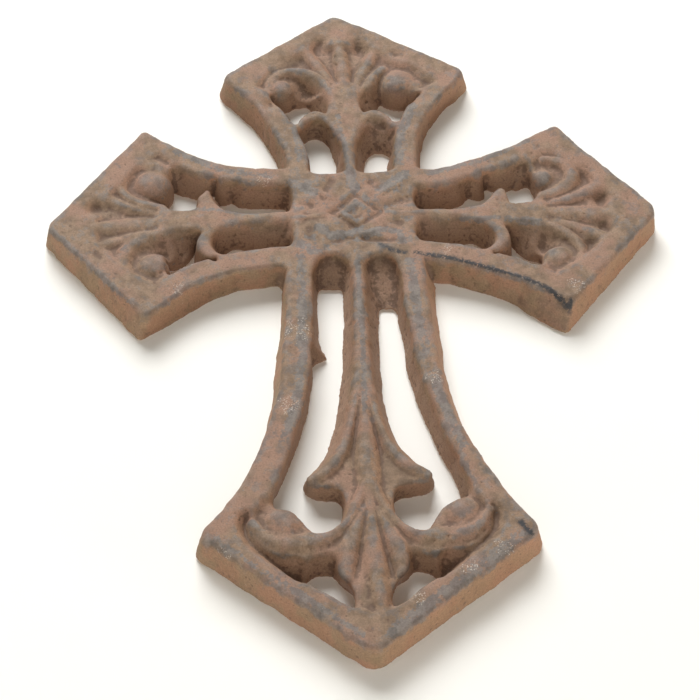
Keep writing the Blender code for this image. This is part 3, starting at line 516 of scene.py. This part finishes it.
leaf = np.full(planX.shape, 6.0)
for outline in relief["leaves"]:
    leaf = np.minimum(leaf, loopDistance(cutCorners(outline, 1, True)))
print("outlines drawn")

# Height of the face
ground = np.full(planX.shape, casting["thickness"])
for name in shortArms:
    pocket = loopDistance(cutCorners(onPlan(arms[name], endGround(arms[name])), 1, True))
    ground = np.minimum(ground, mix(casting["thickness"], casting["floor"], smoothStep(0.8, -2.8, pocket)))
strip = smoothStep(-56, -66, planY) * smoothStep(15.5, 12.0, np.abs(planX)) * smoothStep(-90, -84, planY)
ground = mix(ground, casting["bulbGround"], strip)
basin = loopDistance(cutCorners(relief["basin"], 2, True))
ground = np.minimum(ground, mix(casting["thickness"], casting["footGround"], smoothStep(0.8, -2.0, basin)))
for outline, xOne, floorOne, xTwo, floorTwo in relief["valleys"]:
    floor = np.clip(mix(floorOne, floorTwo, (planX - xOne) / (xTwo - xOne)), floorOne, floorTwo)
    valley = loopDistance(cutCorners(outline, 2, True))
    ground = np.minimum(ground, mix(casting["thickness"], floor, smoothStep(1.6, -2.2, valley)))
crest = np.full(planX.shape, -9.0)
for path in relief["ridges"]:
    crest = smoothMax(crest, ridgeHeight(cutCorners(path, 2, False)), 0.4)
for x, y, radius, top in relief["balls"]:
    away = np.hypot(planX - x, planY - y)
    cap = np.where(away < radius, top - radius + np.sqrt(np.clip(radius ** 2 - away ** 2, 0, None)), -9.0)
    crest = smoothMax(crest, cap, 1.5)
for x, y, long, wide, turn, depth in relief["hollows"]:
    c, s = math.cos(math.radians(turn)), math.sin(math.radians(turn))
    u, v = (planX - x) * c + (planY - y) * s, (planY - y) * c - (planX - x) * s
    spread = casting["spread"]
    fade = np.exp(-((u / long / spread) ** 2 + (v / wide / spread) ** 2))
    ground = ground - casting["sink"] * depth * fade
face = smoothMax(ground, crest, 0.7)
face = np.minimum(face, np.where(ground > casting["thickness"] - 0.3, casting["thickness"] + 0.3, 8.0))

# Diamond on the crossing, in its shallow ring
square = (np.abs(planX - diamond["x"]) + np.abs(planY - diamond["y"])) / math.sqrt(2)
face = face - diamond["dipDepth"] * smoothStep(diamond["dip"] + 0.9, diamond["dip"] - 0.5, square)
ringShare = smoothStep(diamond["edge"], diamond["edge"] + 0.9, square)
ringShare = ringShare * smoothStep(diamond["ring"] + 0.8, diamond["ring"] - 0.9, square)
face = face - diamond["ringDepth"] * ringShare
middle = smoothStep(19, 12, np.hypot(planX, planY))
face = face + middle * (0.28 * waver(3.4, 11) + 0.16 * waver(1.7, 12))

web = np.full(planX.shape, -4.0)
for lowX, highX, profile in webs:
    low = profile[0][0]
    ramp = np.interp(planY, [p[0] for p in profile], [p[1] for p in profile])
    within = (planX > lowX) & (planX < highX) & (planY > low - 3) & (planY < -9)
    web = np.where(within, ramp + 0.5 * np.minimum(planY - low, 0), web)
print("plan maps made")

slopeX, slopeY = np.gradient(face, casting["spacing"])
steepness = np.sqrt(1 + np.clip(slopeX ** 2 + slopeY ** 2, 0, 9))


def ironField(z):
    # below zero in the metal, for one level of the grid
    depth = 1 - z / casting["thickness"]
    outer = mix(edge["face"], edge["base"], depth) + unevenness
    hole = unevenness - mix(opening["face"], opening["base"], depth)
    body = smoothMax((z - face) / steepness, np.maximum(outer, hole), casting["edgeBlend"])
    fill = smoothMax((z - web) / 1.4, outer, 1.0)
    body = smoothMin(body, fill, 1.2)
    under = casting["leafTop"] - z
    body = smoothMin(body, smoothMax(-under, leaf + casting["leafSlope"] * under, 1.2), 0.6)
    for x, y, radius, top in relief["columns"]:
        column = np.sqrt((planX - x) ** 2 + (planY - y) ** 2 + max(z - top + radius, 0) ** 2) - radius
        body = smoothMin(body, column, 0.6)
    return smoothMax(body, np.full(planX.shape, -z), casting["backBlend"])


def surfaceNet(field, origin, step):
    # one vertex for each grid cell that the surface crosses, one face for each crossed grid edge
    below = field < 0
    cellShape = tuple(n - 1 for n in field.shape)
    count = np.zeros(np.prod(cellShape))
    total = np.zeros((3, count.size))
    quads = []
    for axis in range(3):
        lower = [slice(None)] * 3
        upper = [slice(None)] * 3
        lower[axis], upper[axis] = slice(0, -1), slice(1, None)
        a, b = field[tuple(lower)], field[tuple(upper)]
        crossed = np.argwhere((a < 0) != (b < 0))
        i = tuple(crossed.T)
        share = a[i] / (a[i] - b[i])
        point = crossed.astype(float)
        point[:, axis] += share
        first, second = (axis + 1) % 3, (axis + 2) % 3
        corners = []
        for back1, back2 in ((1, 1), (0, 1), (0, 0), (1, 0)):
            cell = crossed.copy()
            cell[:, first] -= back1
            cell[:, second] -= back2
            flat = np.ravel_multi_index(cell.T, cellShape)
            count += np.bincount(flat, minlength=count.size)
            for k in range(3):
                total[k] += np.bincount(flat, weights=point[:, k], minlength=count.size)
            corners.append(flat)
        corners = np.stack(corners, 1)
        leaving = below[tuple(lower)][i]
        quads.append(np.where(leaving[:, None], corners, corners[:, ::-1]))
    used = np.nonzero(count)[0]
    index = np.full(count.size, -1)
    index[used] = np.arange(used.size)
    points = (total[:, used] / count[used]).T * step + origin
    return points, index[np.concatenate(quads)]


levels = np.arange(-2, math.ceil((casting["thickness"] + 1.2) / casting["layer"]) + 1) * casting["layer"]
field = np.stack([ironField(z) for z in levels], axis=2)
gridStart = np.array([xs[0], ys[0], levels[0]])
gridStep = np.array([casting["spacing"], casting["spacing"], casting["layer"]])
points, quads = surfaceNet(field, gridStart, gridStep)
print("surface", len(points), "points", len(quads), "faces")

mesh = bpy.data.meshes.new("castCross")
upright = np.stack([points[:, 0], -points[:, 2], points[:, 1]], 1) * 0.001
mesh.from_pydata(upright.tolist(), [], quads.tolist())
mesh.update()
cross = bpy.data.objects.new("cast_cross", mesh)
bpy.context.scene.collection.objects.link(cross)
mesh.shade_smooth()


def joined(tree, kind, settings=None, **sockets):
    # adds a node, sets its plain settings, then fills sockets by name with values or other outputs
    node = tree.nodes.new(kind)
    for key, value in (settings or {}).items():
        setattr(node, key, value)
    for key, value in sockets.items():
        numbered = key[0] == "i" and key[1:].isdigit()
        socket = node.inputs[int(key[1:]) if numbered else key.replace("_", " ")]
        if isinstance(value, bpy.types.NodeSocket):
            tree.links.new(value, socket)
        else:
            socket.default_value = value
    return node


def math2(tree, operation, a, b=0.0, c=0.0, clamp=False):
    node = joined(tree, "ShaderNodeMath", {"operation": operation, "use_clamp": clamp}, i0=a, i1=b, i2=c)
    return node.outputs[0]


def sandSkin(material):
    # grows the sand-cast unevenness on a mesh: slow waves, lumps and grains, pits, calmer on the back
    tree = bpy.data.node_groups.new("sandSkin", "GeometryNodeTree")
    panel = tree.interface
    panel.new_socket("Geometry", in_out="INPUT", socket_type="NodeSocketGeometry")
    for name in ("Wave", "Wave size", "Lump", "Lump size", "Grain", "Grain size", "Pit", "Pit size",
                 "Back share"):
        panel.new_socket(name, in_out="INPUT", socket_type="NodeSocketFloat")
    panel.new_socket("Geometry", in_out="OUTPUT", socket_type="NodeSocketGeometry")
    start, end = tree.nodes.new("NodeGroupInput"), tree.nodes.new("NodeGroupOutput")
    given = {socket.name: socket for socket in start.outputs}
    place = tree.nodes.new("GeometryNodeInputPosition").outputs[0]
    normal = tree.nodes.new("GeometryNodeInputNormal").outputs[0]
    millimetres = joined(tree, "ShaderNodeVectorMath", {"operation": "SCALE"}, i0=place, Scale=1000.0)
    recess = joined(tree, "GeometryNodeInputNamedAttribute", {"data_type": "FLOAT"}, Name="recess")

    def noise(size, seed):
        moved = joined(tree, "ShaderNodeVectorMath", {"operation": "ADD"},
                       i0=millimetres.outputs[0], i1=(seed, seed * 2, -seed))
        texture = joined(tree, "ShaderNodeTexNoise", {"noise_dimensions": "3D"}, Vector=moved.outputs[0],
                         Scale=math2(tree, "DIVIDE", 1.0, size), Detail=1.5)
        return math2(tree, "SUBTRACT", texture.outputs[0], 0.5)

    wave = math2(tree, "MULTIPLY", noise(given["Wave size"], 11.0), given["Wave"])
    lump = math2(tree, "MULTIPLY", noise(given["Lump size"], 23.0), given["Lump"])
    grain = math2(tree, "MULTIPLY", noise(given["Grain size"], 37.0), given["Grain"])
    rough = math2(tree, "MULTIPLY", grain, math2(tree, "MULTIPLY_ADD", recess.outputs[0], 1.3, 0.7))
    hollow = math2(tree, "MULTIPLY_ADD", noise(given["Pit size"], 51.0), -5.0, -0.62, clamp=True)
    pit = math2(tree, "MULTIPLY", hollow, math2(tree, "MULTIPLY", given["Pit"], -1.0))
    height = math2(tree, "ADD", math2(tree, "ADD", wave, lump), math2(tree, "ADD", rough, pit))
    apart = joined(tree, "ShaderNodeSeparateXYZ", i0=normal).outputs[1]
    behind = math2(tree, "MULTIPLY_ADD", apart, 3.0, -1.8, clamp=True)
    share = joined(tree, "ShaderNodeMix", {"data_type": "FLOAT"}, i0=behind, i2=1.0, i3=given["Back share"])
    metres = math2(tree, "MULTIPLY", math2(tree, "MULTIPLY", height, share.outputs[0]), 0.001)
    offset = joined(tree, "ShaderNodeVectorMath", {"operation": "SCALE"}, i0=normal, Scale=metres)
    moved = joined(tree, "GeometryNodeSetPosition", i0=given["Geometry"],
                   Offset=offset.outputs[0]).outputs[0]
    real = joined(tree, "GeometryNodeRealizeInstances", i0=moved).outputs[0]
    dressed = joined(tree, "GeometryNodeSetMaterial", i0=real, Material=material).outputs[0]
    tree.links.new(dressed, end.inputs[0])
    return tree


skin = {
    "Wave": 0.34, "Wave size": 6.0, "Lump": 0.24, "Lump size": 1.9, "Grain": 0.19, "Grain size": 0.75,
    "Pit": 0.25, "Pit size": 1.1, "Back share": 0.35,
}
keep = 0.43     # share of the faces left after thinning out the flat parts


def storeFloat(mesh, name, values):
    layer = mesh.attributes.new(name, "FLOAT", "POINT")
    layer.data.foreach_set("value", np.ascontiguousarray(values, dtype=np.float32))


def meshArrays(mesh):
    count = len(mesh.vertices)
    places, normals = np.zeros(count * 3, np.float32), np.zeros(count * 3, np.float32)
    mesh.vertices.foreach_get("co", places)
    mesh.vertex_normals.foreach_get("vector", normals)
    ends = np.zeros(len(mesh.edges) * 2, np.int32)
    mesh.edges.foreach_get("vertices", ends)
    places, normals = places.reshape(-1, 3).astype(float) * 1000, normals.reshape(-1, 3).astype(float)
    return places, normals, ends.reshape(-1, 2)


def relaxed(values, ends, rounds):
    # every point takes the mean of its neighbours, a number of times over
    a, b = ends.T
    size = len(values)
    degree = np.bincount(a, minlength=size) + np.bincount(b, minlength=size)
    for _ in range(rounds):
        summed = []
        for column in values.T:
            fromB, fromA = np.bincount(a, column[b], size), np.bincount(b, column[a], size)
            summed.append(fromB + fromA)
        values = 0.5 * values + 0.5 * np.stack(summed, 1) / np.maximum(degree, 1)[:, None]
    return values


def ironShade():
    material = bpy.data.materials.new("rustedIron")
    material.use_nodes = True
    tree = material.node_tree
    shader = tree.nodes["Principled BSDF"]
    place = tree.nodes.new("ShaderNodeTexCoord").outputs["Object"]

    def noise(size, detail=3.0, roughness=0.55, shift=0.0):
        moved = joined(tree, "ShaderNodeVectorMath", {"operation": "ADD"}, i0=place, i1=(shift,) * 3)
        texture = joined(tree, "ShaderNodeTexNoise", Vector=moved.outputs[0], Scale=1000.0 / size,
                         Detail=detail, Roughness=roughness)
        return texture.outputs[0]

    def stored(name):
        return joined(tree, "ShaderNodeAttribute", {"attribute_name": name}).outputs["Fac"]

    def between(value, low, high):
        node = joined(tree, "ShaderNodeMapRange", {"interpolation_type": "SMOOTHSTEP"},
                      i0=value, i1=low, i2=high, i3=0.0, i4=1.0)
        return node.outputs[0]

    def blend(share, first, second, kind="MIX"):
        node = joined(tree, "ShaderNodeMix", {"data_type": "RGBA", "blend_type": kind},
                      i0=share, i6=first, i7=second)
        return node.outputs[2]

    def times(a, b):
        return math2(tree, "MULTIPLY", a, b)

    crest, hollow, recess = stored("crest"), stored("hollow"), stored("recess")
    paintedWarmLightRight, topWearAndHighlight, burnt, glint = stored("paintedWarmLightRight"), stored("topWearAndHighlight"), stored("burnt"), stored("glint")
    grain, fine = noise(0.42, 2.0), noise(0.2, 2.0, shift=3.0)
    patch, cloud = noise(2.3, shift=5.0), noise(9.0, shift=9.0)

    # brown and pink rust, more orange on the walls; painted warm light, orange, on the sides facing right;
    # painted fill light, paler deep down; painted shade, dark in the creases and at the foot of the walls
    rust = blend(between(patch, 0.35, 0.65), look["rustDark"], look["rustLight"])
    rust = blend(times(between(cloud, 0.42, 0.62), 0.7), rust, look["rustPink"])
    uneven = times(math2(tree, "SUBTRACT", patch, 0.5), 0.6)
    wall = between(math2(tree, "ADD", stored("steep"), uneven), 0.35, 0.75)
    ochre = blend(between(noise(6.0, shift=33.0), 0.42, 0.58), look["orange"], look["ochre"])
    rust = blend(times(wall, 0.6), rust, ochre)
    # painted warm light: orange on the sides that face right
    rust = blend(times(between(paintedWarmLightRight, 0.1, 0.8), 0.5), rust, look["orange"])
    # painted fill light: the deep walls of the openings made paler
    paintedFillShare = times(between(recess, 0.15, 0.75), 0.75)
    rust = blend(paintedFillShare, rust, look["recess"])
    # painted shade: dark in the creases and at the foot of the walls near the back
    rust = blend(times(between(hollow, 0.015, 0.11), 0.7), rust, look["shadeAndFreckleBrown"])
    # blue-grey on rubbed ridges, along the named paths and in patches on the flat tops: worn bare metal
    # with painted highlight on it
    ragged = math2(tree, "ADD", crest, times(math2(tree, "SUBTRACT", noise(1.3, shift=13.0), 0.5), 0.16))
    wearAndHighlight = math2(tree, "MULTIPLY_ADD", between(noise(7.0, 2.0, shift=15.0), 0.42, 0.6), 0.75, 0.25)
    grey = times(between(ragged, 0.025, 0.10), wearAndHighlight)
    level = between(noise(2.6, 3.0, 0.65, shift=17.0), 0.56, 0.64)
    broken = math2(tree, "MULTIPLY_ADD", noise(6.0, 2.0, shift=31.0), 0.6,
                   noise(1.1, 3.0, 0.65, shift=19.0))
    line = between(math2(tree, "MULTIPLY_ADD", stored("wearAndHighlight"), 0.36, broken), 1.01, 1.10)
    grey = math2(tree, "MAXIMUM", times(grey, 0.8), times(line, 0.85))
    grey = math2(tree, "MAXIMUM", grey, times(times(level, topWearAndHighlight), 0.8), clamp=True)
    bareMetalAndSheen = blend(between(patch, 0.4, 0.6), look["greyDark"], look["greyLight"])
    colour = blend(times(grey, 0.82), rust, bareMetalAndSheen)
    # blackened stretches, fine mottling, pale sand left in the openings, painted bright glints, dark
    # freckles
    charred = math2(tree, "MULTIPLY_ADD", burnt, 0.12, noise(0.7, 3.0, 0.7, shift=21.0))
    colour = blend(times(burnt, between(charred, 0.47, 0.58)), colour, look["black"])
    mottled = joined(tree, "ShaderNodeMapRange", i0=grain, i1=0.25, i2=0.75, i3=0.80, i4=1.20).outputs[0]
    speckle = joined(tree, "ShaderNodeCombineColor", i0=mottled, i1=mottled, i2=mottled).outputs[0]
    colour = blend(1.0, colour, speckle, "MULTIPLY")
    sand = times(between(fine, 0.6, 0.7), times(between(recess, 0.2, 0.8), 0.35))
    colour = blend(sand, colour, look["sand"])
    # painted bright glints, thicker around the listed spots
    cluster = between(math2(tree, "MULTIPLY_ADD", glint, 0.36, noise(1.8, 3.0, shift=27.0)), 0.62, 0.86)
    specks = math2(tree, "MULTIPLY_ADD", cluster, 0.15, noise(0.42, 3.0, 0.75, shift=41.0))
    colour = blend(times(between(specks, 0.695, 0.755), 0.70), colour, look["glint"])
    freckles = between(noise(0.6, 2.0, 0.6, shift=47.0), 0.36, 0.28)
    colour = blend(times(freckles, 0.45), colour, look["shadeAndFreckleBrown"])
    tree.links.new(colour, shader.inputs["Base Color"])
    gloss = math2(tree, "SUBTRACT", math2(tree, "MULTIPLY_ADD", grey, -0.08, 0.74), 0.08)
    tree.links.new(math2(tree, "MULTIPLY_ADD", grain, 0.16, gloss), shader.inputs["Roughness"])
    shader.inputs["Specular IOR Level"].default_value = 0.3
    height = math2(tree, "ADD", times(grain, 0.65), times(fine, 0.35))
    bump = joined(tree, "ShaderNodeBump", Height=height, Strength=0.55, Distance=0.00016)
    tree.links.new(bump.outputs[0], shader.inputs["Normal"])
    return material


look = {
    "rustDark": (0.180, 0.120, 0.078, 1),
    "rustLight": (0.255, 0.172, 0.115, 1),
    "rustPink": (0.300, 0.175, 0.125, 1),
    "orange": (0.312, 0.165, 0.094, 1),
    "ochre": (0.258, 0.172, 0.096, 1),
    # painted fill light for the deep walls of the openings
    "recess": (0.320, 0.202, 0.138, 1),
    # painted shade in the creases, also the colour of the dark freckles
    "shadeAndFreckleBrown": (0.105, 0.062, 0.044, 1),
    # worn bare metal with painted highlight on it
    "greyDark": (0.104, 0.102, 0.102, 1),
    "greyLight": (0.165, 0.159, 0.154, 1),
    "black": (0.042, 0.041, 0.044, 1),
    "sand": (0.42, 0.32, 0.24, 1),
    # painted bright glints
    "glint": (0.58, 0.52, 0.46, 1),
}
# Blackened stretches, and rubbed places that also carry painted highlight, on the plan, as (x, y) paths
# with a half width
burntPaths = [
    ([(15, -13.2), (24, -15.4), (32, -18.6), (40, -22.0), (46, -25.8), (50.5, -30.5)], 0.55),
    ([(51.4, -29.8), (50.8, -34.2)], 0.5),
    ([(6.5, -10.4), (9.5, -12.4), (12.2, -13.2)], 0.6),
    ([(33, -95), (35, -98)], 0.7),
]
wearAndHighlightPaths = [
    ([(0.5, -12), (0.7, -30), (0.5, -48), (0.1, -62)], 0.7),
    ([(-2.2, 36), (-1.0, 24), (-0.4, 11)], 0.8),
    ([(-13.2, -13), (-13.4, -30), (-13.8, -45), (-15.4, -58), (-18.4, -70)], 1.2),
    ([(13.4, -16), (14.0, -30), (15.4, -45), (18.2, -60), (22.0, -73)], 1.2),
    ([(12.4, 18), (13.6, 29), (17.5, 40)], 1.2),
    ([(-12.6, 20), (-13.4, 30), (-17.0, 40)], 0.8),
    ([(-75, -2), (-66, -13), (-55, -27)], 0.8),
    ([(20, 14.2), (33, 18), (46, 25)], 0.9),
    ([(3, -123), (14, -114), (24, -106), (33, -98)], 1.5),
    ([(-3, -123), (-14, -114), (-24, -106), (-34, -97)], 0.8),
    ([(-20, 14.6), (-32, 17), (-44, 24)], 1.0),
    ([(-24, 1.6), (-34, 3.0), (-42, 4.0)], 0.8),
    ([(24, -2.0), (36, -2.2), (46, -3.6)], 0.8),
    ([(58, 24), (66, 14), (73, 4)], 0.8),
    ([(30, -7.4), (36, -5.4)], 0.8),
    ([(-15, 12), (-9.6, 8.4)], 1.3),
    ([(8, 9), (14, 14)], 1.5),
    ([(0.2, 16), (0.8, 8.6)], 1.3),
    ([(-9, -3.6), (-5.6, -6.6), (-0.6, -6.0), (2.0, -4.4)], 1.2),
    ([(3.4, -6.8), (7.0, -4.8), (11.0, -6.0), (12.4, -9.0)], 1.1),
    ([(-13, -9), (-10, -12)], 1.4),
]
# Places of painted bright glints as (x, y, radius)
glintSpots = [
    (50, -33, 3), (53, -25, 4), (29, -101, 4), (20, -106, 4), (9, -114, 3), (-44, -23, 3),
    (-33, -102, 4), (-15, -37, 6), (-17, -60, 5), (17, -53, 4), (-22, 13, 3), (23, -12, 3),
]


def nearPaths(x, y, paths):
    near = np.zeros(len(x))
    for path, half in paths:
        for (ax, ay), (bx, by) in zip(path, path[1:]):
            dx, dy = bx - ax, by - ay
            t = np.clip(((x - ax) * dx + (y - ay) * dy) / (dx * dx + dy * dy), 0, 1)
            near = np.maximum(near, smoothStep(1.6, 0.6, np.hypot(x - ax - t * dx, y - ay - t * dy) / half))
    return near


def sampled(plan, x, y):
    u = np.clip((x - xs[0]) / casting["spacing"], 0, len(xs) - 1.01)
    v = np.clip((y - ys[0]) / casting["spacing"], 0, len(ys) - 1.01)
    i, j = u.astype(int), v.astype(int)
    s, t = u - i, v - j
    return mix(mix(plan[i, j], plan[i + 1, j], s), mix(plan[i, j + 1], plan[i + 1, j + 1], s), t)


def sinking(x, y, z):
    # 0 on the tops of the ribs, 1 deep down in the openings; the outer walls stay at 0
    outside = smoothStep(-2.0, -4.5, sampled(edge["face"], x, y))
    return np.clip((casting["thickness"] - 0.5 - z) / 4.5, 0, 1) * outside


storeFloat(mesh, "recess", sinking(*points.T))
iron = ironShade()
tree = sandSkin(iron)
modifier = cross.modifiers.new("sandSkin", "NODES")
modifier.node_group = tree
for item in tree.interface.items_tree:
    if item.item_type == "SOCKET" and item.in_out == "INPUT" and item.name in skin:
        modifier[item.identifier] = skin[item.name]
thin = cross.modifiers.new("thin", "DECIMATE")
thin.ratio = keep
thin.use_collapse_triangulate = True
finished = bpy.data.meshes.new_from_object(cross.evaluated_get(bpy.context.evaluated_depsgraph_get()))
cross.modifiers.clear()
cross.data = finished
bpy.data.meshes.remove(mesh)
finished.shade_smooth()
print("skin grown", len(finished.polygons), "faces")

places, normals, ends = meshArrays(finished)
acrossPlan, upPlan, abovePlan = places[:, 0], places[:, 2], -places[:, 1]
curve = np.einsum("ij,ij->i", relaxed(normals, ends, 2), places - relaxed(places, ends, 5))
frontal = np.clip(-normals[:, 1] * 1.5, 0, 1)
if "recess" in finished.attributes:
    finished.attributes.remove(finished.attributes["recess"])
# what the material reads: how deep a point lies, ridges, creases and the foot of the walls for painted
# shade, walls, the side facing right for painted warm light, the rubbed places with painted highlight, the
# blackened places and the painted bright glints
storeFloat(finished, "recess", sinking(acrossPlan, upPlan, abovePlan))
storeFloat(finished, "crest", relaxed(curve[:, None], ends, 1)[:, 0] * smoothStep(3.5, 6.0, abovePlan))
# painted shade: creases, and the foot of the walls near the back
paintedShadeNearTable = smoothStep(3.0, 0.2, abovePlan) * (1 - np.clip(2 * normals[:, 1], 0, 1))
storeFloat(finished, "hollow", 0.055 * paintedShadeNearTable - curve)
storeFloat(finished, "steep", 1 - np.clip(-relaxed(normals, ends, 2)[:, 1], 0, 1))
# painted warm light on the sides that face right
storeFloat(finished, "paintedWarmLightRight", np.clip(relaxed(normals, ends, 3)[:, 0], 0, 1))
central = smoothStep(20, 13, np.hypot(acrossPlan, upPlan))
# flat tops with wear and painted highlight
storeFloat(finished, "topWearAndHighlight", frontal * smoothStep(6.3, 7.2, abovePlan) * mix(0.6, 1.1, central))
square = (np.abs(acrossPlan - diamond["x"]) + np.abs(upPlan - diamond["y"])) / math.sqrt(2)
ring = np.abs(square - 2.1)
wearAndHighlight = np.maximum(nearPaths(acrossPlan, upPlan, wearAndHighlightPaths), smoothStep(1.0, 0.5, ring))
storeFloat(finished, "wearAndHighlight", wearAndHighlight * frontal * smoothStep(5.5, 6.8, abovePlan))
storeFloat(finished, "burnt", nearPaths(acrossPlan, upPlan, burntPaths) * smoothStep(2.0, 5.5, abovePlan))
# painted bright glints around the listed spots
spots = np.zeros(len(acrossPlan))
for x, y, radius in glintSpots:
    spots = np.maximum(spots, smoothStep(radius, 0.3 * radius, np.hypot(acrossPlan - x, upPlan - y)))
storeFloat(finished, "glint", spots * smoothStep(5.5, 7.0, abovePlan))

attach(cross, "root")
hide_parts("cross")
print("cross placed")

# Stage: a pale table behind the cross's back that bends down into a floor
stage = {"halfWidth": 1.6, "top": 1.4, "floor": -0.62, "bend": 0.25, "reach": 2.2, "gap": 0.0003}


def paleTable():
    gap, floor, bend = stage["gap"], stage["floor"], stage["bend"]
    profile = [(gap, stage["top"]), (gap, floor + bend)]
    for i in range(1, 17):
        a = math.radians(90 * i / 16)
        profile.append((gap - bend * (1 - math.cos(a)), floor + bend * (1 - math.sin(a))))
    profile.append((-stage["reach"], floor))
    verts, faces = [], []
    for y, z in profile:
        verts += [(-stage["halfWidth"], y, z), (stage["halfWidth"], y, z)]
    for i in range(len(profile) - 1):
        faces.append((2 * i, 2 * i + 2, 2 * i + 3, 2 * i + 1))
    data = bpy.data.meshes.new("paleTable")
    data.from_pydata(verts, [], faces)
    data.update()
    data.shade_smooth()
    table = bpy.data.objects.new("pale_table", data)
    bpy.context.scene.collection.objects.link(table)
    material = bpy.data.materials.new("palePaper")
    material.use_nodes = True
    shader = material.node_tree.nodes["Principled BSDF"]
    shader.inputs["Base Color"].default_value = (0.88, 0.870, 0.838, 1)
    shader.inputs["Roughness"].default_value = 0.9
    # seen from behind the table is clear, so that the back of the cross shows
    nodes = material.node_tree
    behind = joined(nodes, "ShaderNodeNewGeometry").outputs["Backfacing"]
    clear = joined(nodes, "ShaderNodeBsdfTransparent").outputs[0]
    both = joined(nodes, "ShaderNodeMixShader", i0=behind, i1=shader.outputs[0], i2=clear).outputs[0]
    nodes.links.new(both, nodes.nodes["Material Output"].inputs["Surface"])
    data.materials.append(material)
    return table


table = paleTable()
table.visible_shadow = False

world = bpy.data.worlds.new("softRoom")
world.use_nodes = True
world.node_tree.nodes["Background"].inputs["Color"].default_value = (1.0, 0.86, 0.72, 1)
world.node_tree.nodes["Background"].inputs["Strength"].default_value = 0.16
bpy.context.scene.world = world


def softLight(name, place, size, power, colour):
    data = bpy.data.lights.new(name, "AREA")
    data.shape = "SQUARE"
    data.size = size
    data.energy = power
    data.color = colour
    lamp = bpy.data.objects.new(name, data)
    bpy.context.scene.collection.objects.link(lamp)
    lamp.location = place
    lamp.rotation_mode = "QUATERNION"
    lamp.rotation_quaternion = (-Vector(place)).to_track_quat("-Z", "Y")


softLight("keyLight", (-0.15, -0.75, 0.82), 0.7, 19.0, (0.985, 1.0, 1.0))
softLight("leftFill", (-0.55, -0.08, -0.42), 0.12, 0.95, (1.0, 0.96, 0.90))
softLight("rightFill", (0.58, -0.08, -0.38), 0.12, 1.7, (1.0, 0.96, 0.90))
softLight("backLight", (0.0, 0.9, 0.15), 0.3, 4.5, (1.0, 0.98, 0.95))

# Camera, at the photograph's viewing angle
camera = {
    "place": (-0.0186, -0.3848, -0.3640),
    "right": (0.9991, -0.0068, -0.0422),
    "up": (0.0278, -0.6473, 0.7617),
    "back": (-0.0326, -0.7622, -0.6465),
    "lens": 108,
}
cameraData = bpy.data.cameras.new("view")
cameraData.lens = camera["lens"]
cameraData.sensor_width = 36
cameraData.clip_start = 0.01
viewer = bpy.data.objects.new("view", cameraData)
bpy.context.scene.collection.objects.link(viewer)
axes = Matrix((camera["right"], camera["up"], camera["back"])).transposed()
viewer.matrix_world = Matrix.Translation(camera["place"]) @ axes.to_4x4()
bpy.context.scene.camera = viewer
bpy.context.scene.view_settings.view_transform = "Standard"
